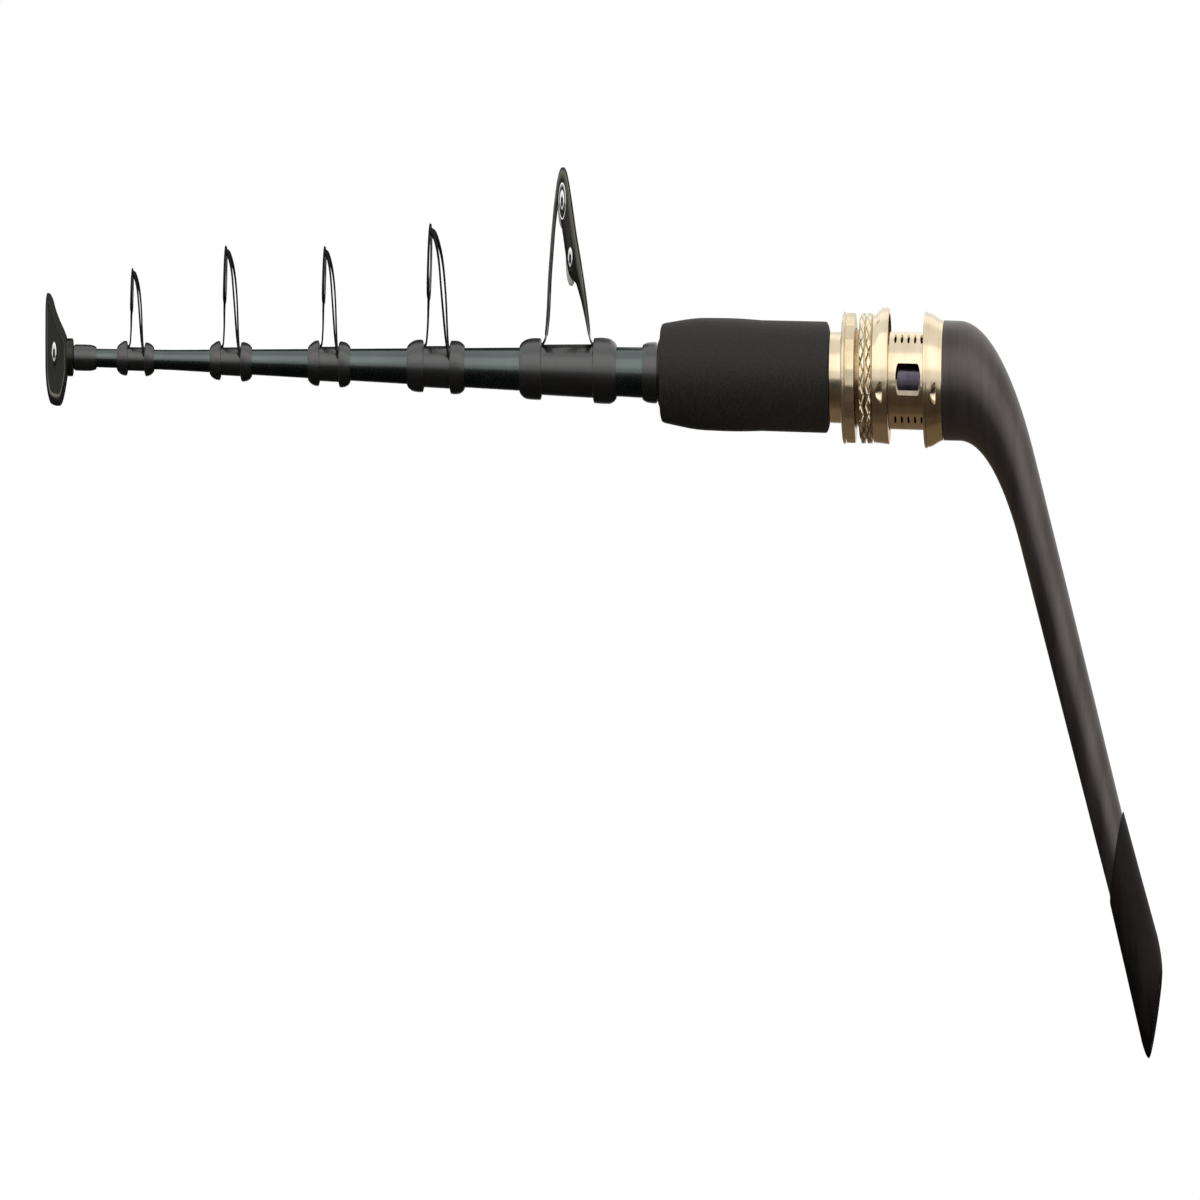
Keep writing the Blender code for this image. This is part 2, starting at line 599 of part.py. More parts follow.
def make_front_hood(mats, rod_line):
    """The hood that slides. Its top is raised into a shell over the reel's foot."""
    start, end = FRONT_HOOD_START, FRONT_HOOD_START + FRONT_HOOD_LENGTH
    raised = FRONT_HOOD_TOP_RADIUS - FRONT_HOOD_MOUTH_RADIUS

    def shell(angle, x, radius):
        if radius <= HOOD_BORE_RADIUS:
            return radius
        turn = abs((angle + math.pi) % (2 * math.pi) - math.pi)
        side = min(max((math.radians(72) - turn) / math.radians(30), 0.0), 1.0)
        along = min(max((end - 0.002 + x) / (0.5 * FRONT_HOOD_LENGTH), 0.0), 1.0)
        ease = side * side * (3 - 2 * side) * along * along * (3 - 2 * along)
        return radius + raised * ease

    length = FRONT_HOOD_LENGTH
    step = FRONT_HOOD_MOUTH_RADIUS - FRONT_HOOD_NUT_RADIUS
    profile = [(-start, HOOD_BORE_RADIUS), (-start, FRONT_HOOD_MOUTH_RADIUS - 0.0008)]
    profile.append((-start - 0.0008, FRONT_HOOD_MOUTH_RADIUS))
    for share in (0.2, 0.35, 0.5, 0.65, 0.8):
        profile.append((-start - share * length, FRONT_HOOD_MOUTH_RADIUS - step * share))
    profile += [(-end + 0.0006, FRONT_HOOD_NUT_RADIUS), (-end, FRONT_HOOD_NUT_RADIUS - 0.0006)]
    profile.append((-end, HOOD_BORE_RADIUS))
    hood = place("front_hood", turned(profile, SEGMENTS_LARGE, shape=shell),
                 mats["gold"], rod_line)
    pocket = place("pocket_cutter", turned([
        (-start + 0.01, FRONT_POCKET_RADIUS), (-start - FRONT_POCKET_DEPTH, FRONT_POCKET_RADIUS),
    ], SEGMENTS_LARGE, solid=True), mats["gold"], rod_line)
    sides = place("pocket_sides", block(
        (-end - 0.02, -POCKET_HALF_WIDTH, 0.25 * BARREL_RADIUS),
        (-start + 0.02, POCKET_HALF_WIDTH, 0.03),
    ), mats["gold"], rod_line)
    combine(pocket, [sides], "INTERSECT")
    scoops = hood_scoops(mats, rod_line, start + 0.56 * length, FRONT_SCOOP_LENGTH,
                         FRONT_HOOD_MOUTH_RADIUS - 0.56 * step)
    return combine(hood, [pocket] + scoops, "DIFFERENCE")


def make_nuts(mats, rod_line):
    near = -HOOD_NUT_START
    far = near - HOOD_NUT_LENGTH
    middle = (near + far) / 2
    low = HOOD_NUT_RADIUS - HOOD_NUT_GROOVE
    place("hood_nut", turned([
        (near, NUT_BORE_RADIUS), (near, low), (near - 0.0012, low),
        (near - 0.0018, HOOD_NUT_RADIUS), (middle + 0.0016, HOOD_NUT_RADIUS),
        (middle + 0.0010, low), (middle - 0.0010, low), (middle - 0.0016, HOOD_NUT_RADIUS),
        (far + 0.0024, HOOD_NUT_RADIUS), (far + 0.0016, low), (far, low), (far, NUT_BORE_RADIUS),
    ], SEGMENTS_LARGE), mats["gold"], rod_line)

    near = -JAM_NUT_START
    far = near - JAM_NUT_LENGTH
    collar = far + JAM_COLLAR_LENGTH

    def facets(angle, x, radius):
        if radius <= NUT_BORE_RADIUS or x < collar + 0.0005:
            return radius
        step = 2 * math.pi / JAM_NUT_FACETS
        off = (angle + step / 2) % step - step / 2
        return radius * math.cos(step / 2) / math.cos(off)

    top = JAM_COLLAR_RADIUS
    place("jam_nut", turned([
        (near, NUT_BORE_RADIUS), (near, JAM_NUT_RADIUS - 0.0012), (near - 0.0010, JAM_NUT_RADIUS),
        (collar + 0.0012, JAM_NUT_RADIUS), (collar + 0.0004, JAM_NUT_RADIUS - 0.0010),
        (collar - 0.0002, top - 0.0012), (collar - 0.0012, top - 0.0002),
        (far + 0.0028, top), (far + 0.0014, top - 0.0004), (far + 0.0004, top - 0.0016),
        (far, top - 0.0026), (far, NUT_BORE_RADIUS),
    ], 2 * JAM_NUT_FACETS, shape=facets), mats["gold"], rod_line)


# Foregrip, winding check, blank

def make_grip(mats, rod_line):
    rear, front = GRIP_REAR, GRIP_FRONT
    bore = BLANK_BUTT_RADIUS + FIT_GAP
    span = GRIP_LENGTH
    place("foregrip", turned([
        (-rear, bore), (-rear, GRIP_REAR_RADIUS - 0.0042), (-rear - 0.0010, GRIP_REAR_RADIUS - 0.0018),
        (-rear - 0.0032, GRIP_REAR_RADIUS - 0.0004), (-rear - 0.0065, GRIP_REAR_RADIUS),
        (-rear - 0.40 * span, GRIP_REAR_RADIUS - 0.0001), (-rear - 0.66 * span, GRIP_BELLY_RADIUS),
        (-rear - 0.80 * span, GRIP_BELLY_RADIUS - 0.0003),
        (-front + 0.0090, GRIP_FRONT_RADIUS + 0.0004), (-front + 0.0040, GRIP_FRONT_RADIUS - 0.0004),
        (-front + 0.0012, GRIP_FRONT_RADIUS - 0.0020), (-front, GRIP_FRONT_RADIUS - 0.0036),
        (-front, bore),
    ], SEGMENTS_LARGE), mats["foam"], rod_line)
    check_rear = front + FIT_GAP
    check_front = check_rear + CHECK_LENGTH
    place("winding_check", turned([
        (-check_rear, bore), (-check_rear, CHECK_RADIUS), (-check_rear - 0.0012, CHECK_RADIUS),
        (-check_front + 0.0004, CHECK_RADIUS - 0.0010), (-check_front, CHECK_RADIUS - 0.0014),
        (-check_front, bore),
    ], SEGMENTS_MEDIUM), mats["black_metal"], rod_line)
    wrap_rear = check_front + FIT_GAP
    wrap = wrap_shell(wrap_rear, wrap_rear + GRIP_WRAP_LENGTH, 0.0013)
    place("grip_wrap", wrap, mats["thread"], rod_line)


def make_blank(mats, rod_line):
    stops = (BLANK_REAR_AHEAD, GRIP_FRONT, BLANK_MID_AHEAD, BLANK_TIP_AHEAD)
    outer = [(-ahead, blank_radius(ahead)) for ahead in stops]
    inner = [(-BLANK_TIP_AHEAD, BLANK_TIP_BORE), (-GRIP_FRONT, BLANK_BUTT_BORE),
             (-BLANK_REAR_AHEAD, BLANK_BUTT_BORE)]
    place("blank", turned(outer + inner, SEGMENTS_MEDIUM), mats["blank"], rod_line)


# Ring guides

def make_guide(number, size, mats, rod_line):
    name = f"guide_{number}"
    ahead, height, loop, wire = size["ahead"], size["height"], size["loop"], size["wire"]
    origin = (-ahead, 0.0, 0.0)
    up = Vector((math.sin(GUIDE_LEAN), 0.0, math.cos(GUIDE_LEAN)))
    side = Vector((0.0, 1.0, 0.0))
    centre = Vector((0.0, 0.0, height))
    out = up.cross(side)

    rings = []
    for i in range(SEGMENTS_SMALL + 4):
        turn = 2 * math.pi * i / (SEGMENTS_SMALL + 4)
        spoke = up * math.cos(turn) + side * math.sin(turn)
        rings.append([
            centre + spoke * (loop + wire * math.cos(a)) + out * (LOOP_BREADTH * wire * math.sin(a))
            for a in (2 * math.pi * (k + 0.5) / WIRE_SIDES for k in range(WIRE_SIDES))
        ])
    frame = place(f"{name}_frame", skin(rings, closed=True), mats["black_metal"], rod_line, origin)

    half = FOOT_THICKNESS / 2
    base = ahead + size["front"]
    foot_end = base + size["front_wrap"] - WRAP_RAMP
    low = centre - up * loop
    foot = foot_place(base + 0.0030, 0.0, FOOT_THICKNESS)
    tip = foot_place(foot_end, 0.0, FOOT_THICKNESS)
    stem_path = [
        (low.x, 0.0, low.z, wire, 1.5 * wire),
        (low.x - 0.0002, 0.0, low.z - 0.0022, wire, 1.3 * wire),
        (-0.45 * size["front"], 0.0, 0.55 * foot[2] + 0.45 * low.z, 1.1 * wire, wire),
        (-0.80 * size["front"], 0.0, foot[2] + 0.0013, 1.4 * wire, 0.7 * wire),
        (-size["front"] - 0.0012, 0.0, foot[2] + 0.0002, FOOT_HALF_WIDTH, half),
        (foot[0] + ahead - 0.0010, 0.0, foot[2], FOOT_HALF_WIDTH, half),
        (tip[0] + ahead, 0.0, tip[2], 0.6 * FOOT_HALF_WIDTH, half),
    ]
    stem = place("stem", swept(stem_path, side), mats["black_metal"], rod_line, origin)
    braces, brace_paths = [], []
    rear = size["rear"]
    rear_ahead = ahead - rear
    foot_stop = rear_ahead - size["rear_wrap"] + WRAP_RAMP
    for hand in (1, -1):
        angle = hand * FOOT_SIDE_ANGLE
        start = centre + (up * math.cos(0.5) - side * (hand * math.sin(0.5))) * loop
        land = Vector(foot_place(rear_ahead, angle, FOOT_THICKNESS))
        stop = Vector(foot_place(foot_stop, angle, FOOT_THICKNESS))
        flat = foot_place(rear_ahead - 0.0030, angle, FOOT_THICKNESS)
        knee_z = height - 0.88 * loop
        ankle = 0.72
        rows = [
            (start.x, start.y, start.z, wire, wire),
            (0.34 * rear, -hand * 0.62 * loop, height + 0.70 * loop, wire, 0.9 * wire),
            (0.62 * rear, -hand * 0.90 * loop, height + 0.10 * loop, wire, 0.9 * wire),
            (0.78 * rear, -hand * 0.92 * loop, knee_z, wire, 0.9 * wire),
            (0.93 * rear, -hand * ((1 - ankle) * 0.92 * loop + ankle * abs(land.y)),
             (1 - ankle) * knee_z + ankle * land.z + 0.0004, wire, 0.8 * wire),
            (rear + 0.0012, land.y * 1.04, land.z + 0.0003, FOOT_HALF_WIDTH, half),
            (flat[0] + ahead + 0.0010, flat[1], flat[2], FOOT_HALF_WIDTH, half),
            (stop.x + ahead, stop.y, stop.z, 0.6 * FOOT_HALF_WIDTH, half),
        ]
        tangent = Vector((0.0, -math.cos(angle), -math.sin(angle)))
        brace_paths.append((rows, tangent))
        braces.append(place("brace", swept(rows, tangent), mats["black_metal"],
                            rod_line, origin))
    combine(frame, [stem] + braces, "UNION")

    outer = loop - wire - FIT_GAP
    inner = outer - RING_WALL
    long = RING_LENGTH / 2
    ring = place(f"{name}_ring", turned([
        (-long, inner + 0.0005), (-long, outer - 0.0003), (-0.5 * long, outer),
        (0.5 * long, outer), (long, outer - 0.0003), (long, inner + 0.0005),
        (0.45 * long, inner), (-0.45 * long, inner),
    ], SEGMENTS_SMALL + 4), mats["ceramic"], rod_line, (-ahead, 0.0, height))
    ring.rotation_euler = (0.0, GUIDE_LEAN, 0.0)

    rise = foot_rise(FOOT_THICKNESS)
    wraps = (
        ("front_wrap", base + 0.0024, base + 0.0024 + size["front_wrap"], [(stem_path, side)]),
        ("rear_wrap", rear_ahead - 0.0024, rear_ahead - 0.0024 - size["rear_wrap"], brace_paths),
    )
    for label, near, far, feet in wraps:
        wrap = place(f"{name}_{label}", wrap_shell(near, far, rise), mats["thread"], rod_line)
        pockets = [
            place("foot_pocket", swept(grown(path, FIT_GAP), across),
                  mats["thread"], rod_line, origin)
            for path, across in feet
        ]
        combine(wrap, pockets, "DIFFERENCE")


# Roller axles, shared by the tip top and the stripper guide

def make_axle(name, mats, rod_line, at):
    """Screw, nut, bushing and roller on one axle across the rod."""
    turn = (0.0, 0.0, math.pi / 2)
    head = -PLATE_OUTER - FIT_GAP
    tail = PLATE_OUTER + FIT_GAP + NUT_HEIGHT
    screw = place(f"{name}_axle_screw", turned([
        (head - SCREW_HEAD_HEIGHT, 0.45 * SCREW_HEAD_RADIUS),
        (head - 0.85 * SCREW_HEAD_HEIGHT, 0.75 * SCREW_HEAD_RADIUS),
        (head - 0.45 * SCREW_HEAD_HEIGHT, SCREW_HEAD_RADIUS), (head, SCREW_HEAD_RADIUS),
        (head, AXLE_RADIUS), (tail, AXLE_RADIUS),
    ], SEGMENTS_SMALL, solid=True), mats["chrome"], rod_line, at, turn)
    drive = place("drive_cutter", turned([
        (head - SCREW_HEAD_HEIGHT - 0.001, SCREW_DRIVE_RADIUS),
        (head - 0.4 * SCREW_HEAD_HEIGHT, SCREW_DRIVE_RADIUS),
    ], 6, solid=True), mats["chrome"], rod_line, at, turn)
    combine(screw, [drive], "DIFFERENCE")
    seat = PLATE_OUTER + FIT_GAP
    place(f"{name}_axle_nut", turned([
        (seat, BUSHING_BORE), (seat, NUT_RADIUS), (seat + 0.7 * NUT_HEIGHT, NUT_RADIUS),
        (seat + NUT_HEIGHT, NUT_RADIUS - 0.0006), (seat + NUT_HEIGHT, BUSHING_BORE),
    ], SEGMENTS_SMALL), mats["chrome"], rod_line, at, turn)
    span = PLATE_INNER - FIT_GAP
    place(f"{name}_bushing", turned([
        (-span, BUSHING_BORE), (-span, BUSHING_RADIUS), (span, BUSHING_RADIUS),
        (span, BUSHING_BORE),
    ], SEGMENTS_SMALL), mats["bronze"], rod_line, at, turn)
    wide = ROLLER_WIDTH / 2
    floor = ROLLER_RADIUS - ROLLER_GROOVE
    place(f"{name}_roller", turned([
        (-wide, ROLLER_BORE), (-wide, ROLLER_RADIUS - 0.0003), (-0.92 * wide, ROLLER_RADIUS),
        (-0.80 * wide, ROLLER_RADIUS), (-0.62 * wide, floor + 0.35 * ROLLER_GROOVE),
        (-0.45 * wide, floor), (0.45 * wide, floor), (0.62 * wide, floor + 0.35 * ROLLER_GROOVE),
        (0.80 * wide, ROLLER_RADIUS), (0.92 * wide, ROLLER_RADIUS), (wide, ROLLER_RADIUS - 0.0003),
        (wide, ROLLER_BORE),
    ], SEGMENTS_SMALL + 8), mats["steel"], rod_line, at, turn)


def axle_hole(mats, rod_line, at):
    return place("axle_hole", turned([
        (-2 * PLATE_OUTER, BUSHING_BORE), (2 * PLATE_OUTER, BUSHING_BORE),
    ], SEGMENTS_SMALL, solid=True), mats["steel"], rod_line, at, (0.0, 0.0, math.pi / 2))


# Roller stripper guide

def make_stripper(mats, rod_line):
    at = (-STRIPPER_AHEAD, 0.0, 0.0)
    plates = [
        place("plate", extruded(STRIPPER_OUTLINE, low, high), mats["black_metal"], rod_line, at)
        for low, high in ((-PLATE_OUTER, -PLATE_INNER), (PLATE_INNER, PLATE_OUTER))
    ]
    frame = plates[0]
    frame.name = "stripper_frame"
    thick = STRIPPER_STRAP
    feet = []
    for way, base, wrap, bars in (
        (1, STRIPPER_AHEAD + STRIPPER_FRONT_BASE, STRIPPER_FRONT_WRAP, STRIPPER_FRONT_STRAP),
        (-1, STRIPPER_AHEAD - STRIPPER_REAR_BASE, STRIPPER_REAR_WRAP, STRIPPER_REAR_STRAP),
    ):
        toe = base + way * (wrap - WRAP_RAMP)
        heel = foot_place(base + way * 0.0015, 0.0, thick)
        flat = foot_place(base + way * 0.0050, 0.0, thick)
        last = foot_place(toe, 0.0, thick)
        wide = PLATE_OUTER - 0.0003
        feet.append([
            (bars[0][0], 0.0, bars[0][1], wide, thick / 2),
            (bars[1][0], 0.0, bars[1][1], wide, thick / 2),
            (bars[2][0], 0.0, bars[2][1], 0.85 * wide, thick / 2),
            (heel[0] + STRIPPER_AHEAD, 0.0, heel[2] + 0.0003, 0.50 * PLATE_OUTER, thick / 2),
            (flat[0] + STRIPPER_AHEAD, 0.0, flat[2], 0.45 * PLATE_OUTER, thick / 2),
            (last[0] + STRIPPER_AHEAD, 0.0, last[2], 0.30 * PLATE_OUTER, thick / 2),
        ])
    side = (0.0, 1.0, 0.0)
    straps = [
        place("strap", swept(path, side, corner=0.5), mats["black_metal"], rod_line, at)
        for path in feet
    ]
    combine(frame, [plates[1]] + straps, "UNION")
    spots = {"stripper_upper": STRIPPER_UPPER, "stripper_lower": STRIPPER_LOWER}
    places = {key: (at[0] + x, 0.0, z) for key, (x, z) in spots.items()}
    combine(frame, [axle_hole(mats, rod_line, spot) for spot in places.values()], "DIFFERENCE")
    for key, spot in places.items():
        make_axle(key, mats, rod_line, spot)

    rise = foot_rise(thick)
    front = STRIPPER_AHEAD + STRIPPER_FRONT_BASE
    rear = STRIPPER_AHEAD - STRIPPER_REAR_BASE
    for label, near, far, path in (
        ("front_wrap", front + 0.0030, front + 0.0030 + STRIPPER_FRONT_WRAP, feet[0]),
        ("rear_wrap", rear - 0.0030, rear - 0.0030 - STRIPPER_REAR_WRAP, feet[1]),
    ):
        wrap = place(f"stripper_{label}", wrap_shell(near, far, rise), mats["thread"], rod_line)
        pocket = place("foot_pocket", swept(grown(path, FIT_GAP), side, corner=0.5),
                       mats["thread"], rod_line, at)
        combine(wrap, [pocket], "DIFFERENCE")
    ends = (front - 0.0012, rear + 0.0012)
    place("stripper_underwrap", turned(
        [(-ahead, blank_radius(ahead) + FIT_GAP + UNDERWRAP_THICKNESS) for ahead in ends]
        + [(-ahead, blank_radius(ahead) + FIT_GAP) for ahead in ends[::-1]],
        SEGMENTS_SMALL), mats["thread"], rod_line)


# Roller tip top

def make_tip(mats, rod_line):
    axle = (-TIP_AHEAD, 0.0, TIP_AXLE_HEIGHT)
    line = (-TIP_AHEAD, 0.0, 0.0)
    outline = [(x, z + TIP_AXLE_HEIGHT) for x, z in TIP_OUTLINE]
    frame = place("tip_frame", extruded(outline, -PLATE_OUTER, -PLATE_INNER),
                  mats["black_metal"], rod_line, line)
    far = place("far_plate", extruded(outline, PLATE_INNER, PLATE_OUTER),
                mats["black_metal"], rod_line, line)
    neck_rows = (
        (TIP_NECK_START, PLATE_OUTER - 0.0004, 0.0036),
        (0.5 * (TIP_NECK_START + TIP_TUBE_START), PLATE_OUTER - 0.0006, 0.0042),
        (TIP_TUBE_START, TIP_TUBE_RADIUS, TIP_TUBE_RADIUS),
        (TIP_TUBE_END - 0.0012, TIP_TUBE_RADIUS, TIP_TUBE_RADIUS),
        (TIP_TUBE_END, TIP_TUBE_RADIUS - 0.0012, TIP_TUBE_RADIUS - 0.0012),
    )
    neck = place("neck", skin([
        [Vector((x, -wide * math.sin(a), tall * math.cos(a)))
         for a in (2 * math.pi * k / SEGMENTS_SMALL for k in range(SEGMENTS_SMALL))]
        for x, wide, tall in neck_rows
    ]), mats["black_metal"], rod_line, line)
    combine(frame, [far, neck], "UNION")
    bore = place("tube_bore", turned([
        (-BLANK_TIP_AHEAD - FIT_GAP + TIP_AHEAD, BLANK_MID_RADIUS + FIT_GAP),
        (TIP_TUBE_END + 0.01, BLANK_MID_RADIUS + FIT_GAP),
    ], SEGMENTS_SMALL, solid=True), mats["black_metal"], rod_line, line)
    combine(frame, [bore, axle_hole(mats, rod_line, axle)], "DIFFERENCE")
    make_axle("tip", mats, rod_line, axle)
    near = TIP_AHEAD - TIP_TUBE_END - FIT_GAP
    wrap = wrap_shell(near, near - TIP_WRAP_LENGTH, 0.0008)
    place("tip_wrap", wrap, mats["thread"], rod_line)


def main():
    clear_scene()
    mats = {
        "gold": make_material("gold_anodised_aluminium", (0.62, 0.47, 0.26), 0.32, 1.0),
        "bronze": make_material("bronze_anodised_aluminium", (0.42, 0.29, 0.14), 0.38, 1.0),
        "steel": make_material("stainless_steel", (0.58, 0.57, 0.55), 0.28, 1.0),
        "dark_steel": make_material("dark_anodised_sleeve", (0.13, 0.11, 0.11), 0.40, 0.8),
        "chrome": make_material("chromed_steel", (0.85, 0.85, 0.86), 0.12, 1.0),
        "black_metal": make_material("black_coated_steel", (0.020, 0.019, 0.017), 0.36, 0.4),
        "black_tube": make_material("black_anodised_butt", (0.030, 0.026, 0.025), 0.45, 0.5),
        "blank": make_material("black_green_blank", (0.012, 0.022, 0.022), 0.16),
        "thread": make_material("epoxied_thread", (0.050, 0.047, 0.046), 0.25),
        "foam": make_material("eva_foam", (0.022, 0.019, 0.016), 0.92),
        "rubber": make_material("black_rubber", (0.010, 0.009, 0.008), 0.75),
        "ceramic": make_material("grey_ceramic", (0.060, 0.062, 0.066), 0.18),
    }
    rod_line = make_empty("rod_line", (SEAT_REAR_X, 0.0, LINE_HEIGHT))
    butt_line = make_empty("butt_line", (0.0, 0.0, 0.0), BUTT_ANGLE)
    make_butt(mats, butt_line, rod_line)
    make_barrel(mats, rod_line)
    make_rear_hood(mats, rod_line)
    make_front_hood(mats, rod_line)
    make_nuts(mats, rod_line)
    make_grip(mats, rod_line)
    make_blank(mats, rod_line)
    for number, size in enumerate(GUIDES, start=1):
        make_guide(number, size, mats, rod_line)
    make_stripper(mats, rod_line)
    make_tip(mats, rod_line)
    bpy.context.view_layer.update()


main()
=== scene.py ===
import json
import math

import bmesh
import bpy
from mathutils import Matrix, Vector

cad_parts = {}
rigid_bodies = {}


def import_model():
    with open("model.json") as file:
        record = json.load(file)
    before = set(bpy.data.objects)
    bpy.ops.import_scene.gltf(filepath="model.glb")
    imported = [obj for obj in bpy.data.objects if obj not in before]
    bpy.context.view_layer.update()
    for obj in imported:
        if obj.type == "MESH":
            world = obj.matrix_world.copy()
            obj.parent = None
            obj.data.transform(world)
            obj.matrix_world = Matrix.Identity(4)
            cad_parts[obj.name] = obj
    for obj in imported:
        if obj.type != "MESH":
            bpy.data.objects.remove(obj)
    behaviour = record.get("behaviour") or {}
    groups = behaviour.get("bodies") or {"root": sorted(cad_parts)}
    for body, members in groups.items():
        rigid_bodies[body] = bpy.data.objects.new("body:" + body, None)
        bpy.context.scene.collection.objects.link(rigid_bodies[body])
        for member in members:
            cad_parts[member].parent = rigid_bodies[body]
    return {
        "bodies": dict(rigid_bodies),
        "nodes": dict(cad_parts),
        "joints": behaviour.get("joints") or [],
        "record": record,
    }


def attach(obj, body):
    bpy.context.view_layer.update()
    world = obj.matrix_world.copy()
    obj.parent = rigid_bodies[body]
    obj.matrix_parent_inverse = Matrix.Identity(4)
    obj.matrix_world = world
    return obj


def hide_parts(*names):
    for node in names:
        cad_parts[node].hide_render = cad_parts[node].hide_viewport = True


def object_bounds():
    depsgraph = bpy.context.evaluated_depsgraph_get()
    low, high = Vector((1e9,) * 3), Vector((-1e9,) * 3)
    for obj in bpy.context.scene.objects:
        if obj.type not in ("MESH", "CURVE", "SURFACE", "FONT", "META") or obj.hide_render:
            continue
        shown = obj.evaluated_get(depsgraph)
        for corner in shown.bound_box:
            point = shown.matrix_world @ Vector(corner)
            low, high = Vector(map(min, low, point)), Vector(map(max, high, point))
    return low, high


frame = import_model()
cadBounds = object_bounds()
cad = frame["nodes"]

# The rod's line runs along X. "ahead" is a distance on it from the seat's rear end towards the tip.
line = {
    "buttAngle": math.radians(36.7),  # the butt's slope
    "bendRadius": 0.169,
    "stub": 0.023,  # straight part between the seat and the bend
    "leg": 0.236,  # straight part from the bend to the cap's end, which is the origin
    "fitGap": 0.0003,
}
slope = line["buttAngle"]
line["height"] = line["leg"] * math.sin(slope) + line["bendRadius"] * (1 - math.cos(slope))
line["seatRear"] = -(line["leg"] * math.cos(slope) + line["bendRadius"] * math.sin(slope)
                     + line["stub"])
rodLine = Matrix.Translation((line["seatRear"], 0.0, line["height"]))
buttLine = Matrix.Rotation(slope, 4, "Y")
acrossRod = Matrix.Rotation(math.pi / 2, 4, "Z")  # lays a turned shape across the rod


# Small tools

def onRod(ahead, side=0.0, height=0.0):
    return rodLine @ Matrix.Translation((-ahead, side, height))


def fromHex(text):  # sRGB hex to linear
    parts = [int(text[i:i + 2], 16) / 255 for i in (0, 2, 4)]
    return (*(p / 12.92 if p <= 0.04045 else ((p + 0.055) / 1.055) ** 2.4 for p in parts), 1.0)


# links and values go by an input's name or number, settings are the node's own
def addNode(tree, kind, links=None, values=None, **settings):
    node = tree.nodes.new(kind)
    for key, value in settings.items():
        setattr(node, key, value)
    for key, value in (values or {}).items():
        node.inputs[key].default_value = value
    for key, source in (links or {}).items():
        tree.links.new(source, node.inputs[key])
    return node


def startFinish(name, **inputs):
    finish = bpy.data.materials.new(name)
    finish.use_nodes = True
    shader = finish.node_tree.nodes["Principled BSDF"]
    for key, value in inputs.items():
        shader.inputs[key.replace("_", " ")].default_value = value
    return finish, finish.node_tree, shader


def angles(count, shift=0.0):  # all the way round
    return [2 * math.pi * (k + shift) / count for k in range(count)]


def quarter(steps):  # from 0 to a right angle
    return [math.pi / 2 * k / steps for k in range(steps + 1)]


def ease(t):
    t = min(max(t, 0.0), 1.0)
    return t * t * (3 - 2 * t)


# a point on a circle, which a power below 1 pushes towards a square
def roundish(angle, power):
    u, v = math.cos(angle), math.sin(angle)
    return math.copysign(abs(u) ** power, u), math.copysign(abs(v) ** power, v)


# how far out a many-sided ring reaches at an angle, with its corners at the given reach
def facet(angle, count, reach):
    step = 2 * math.pi / count
    off = (angle + step / 2) % step - step / 2
    return reach * math.cos(step / 2) / math.cos(off)


# rounds the corners of a closed profile
def softened(points, radius, steps=3):
    out = []
    for i, here in enumerate(points):
        here = Vector(here)
        back = Vector(points[i - 1]) - here
        ahead = Vector(points[(i + 1) % len(points)]) - here
        if back.angle(-ahead, 0.0) < math.radians(7):  # as good as straight
            out.append(tuple(here))
            continue
        start = here + back.normalized() * min(radius, 0.42 * back.length)
        end = here + ahead.normalized() * min(radius, 0.42 * ahead.length)
        for t in (k / steps for k in range(steps + 1)):
            out.append(tuple(start * (1 - t) ** 2 + here * 2 * t * (1 - t) + end * t ** 2))
    return out


# a Catmull-Rom curve through rows of numbers
def smoothPath(points, steps):
    rows = [points[0], *points, points[-1]]
    out = []
    for i in range(1, len(rows) - 2):
        for t in (k / steps for k in range(steps)):
            out.append(tuple(
                0.5 * (2 * q + (r - p) * t + (2 * p - 5 * q + 4 * r - s) * t ** 2
                       + (3 * q - p - 3 * r + s) * t ** 3)
                for p, q, r, s in zip(*rows[i - 1:i + 3])
            ))
    out.append(rows[-2])
    return out


# a surface over rings of points, either a closed loop of rings or capped at both ends. It can
# go into a shape that already holds other shells.
def skin(rings, closed=False, shape=None):
    shape = shape or bmesh.new()
    rows = [[shape.verts.new(point) for point in ring] for ring in rings]
    for i in range(len(rows) if closed else len(rows) - 1):
        here, there = rows[i], rows[(i + 1) % len(rows)]
        for k in range(len(here)):
            m = (k + 1) % len(here)
            shape.faces.new((here[k], here[m], there[m], there[k]))
    if not closed:
        for row in (rows[0], rows[-1]):
            middle = shape.verts.new(sum((v.co for v in row), Vector()) / len(row))
            for k in range(len(row)):
                shape.faces.new((row[k], row[(k + 1) % len(row)], middle))
    return shape


# (x, radius) points turned round X. Angle 0 is the top, and a quarter turn is the side at -Y.
def turned(profile, sides, solid=False, relief=None):
    rings = []
    for x, radius in profile:
        ring = []
        for angle in angles(sides):
            reach = relief(x, radius, angle) if relief else radius
            ring.append(Vector((x, -reach * math.sin(angle), reach * math.cos(angle))))
        rings.append(ring)
    return skin(rings, closed=not solid)


# a round cutter between two places along X
def drill(radius, back, front, sides):
    return turned([(back, radius), (front, radius)], sides, solid=True)


# a bar along (x, y, z, half width, half thickness) rows
def swept(path, across, corner, sides=14, shape=None):
    rows = smoothPath(path, 8)
    places = [Vector(row[:3]) for row in rows]
    across = Vector(across)
    rings = []
    for i, row in enumerate(rows):
        ahead = (places[min(i + 1, len(rows) - 1)] - places[max(i - 1, 0)]).normalized()
        side = (across - ahead * across.dot(ahead)).normalized()
        normal = ahead.cross(side)
        ring = []
        for angle in angles(sides, 0.5):
            u, v = roundish(angle, corner)
            ring.append(places[i] + side * (u * row[3]) + normal * (v * row[4]))
        rings.append(ring)
    return skin(rings, shape=shape)


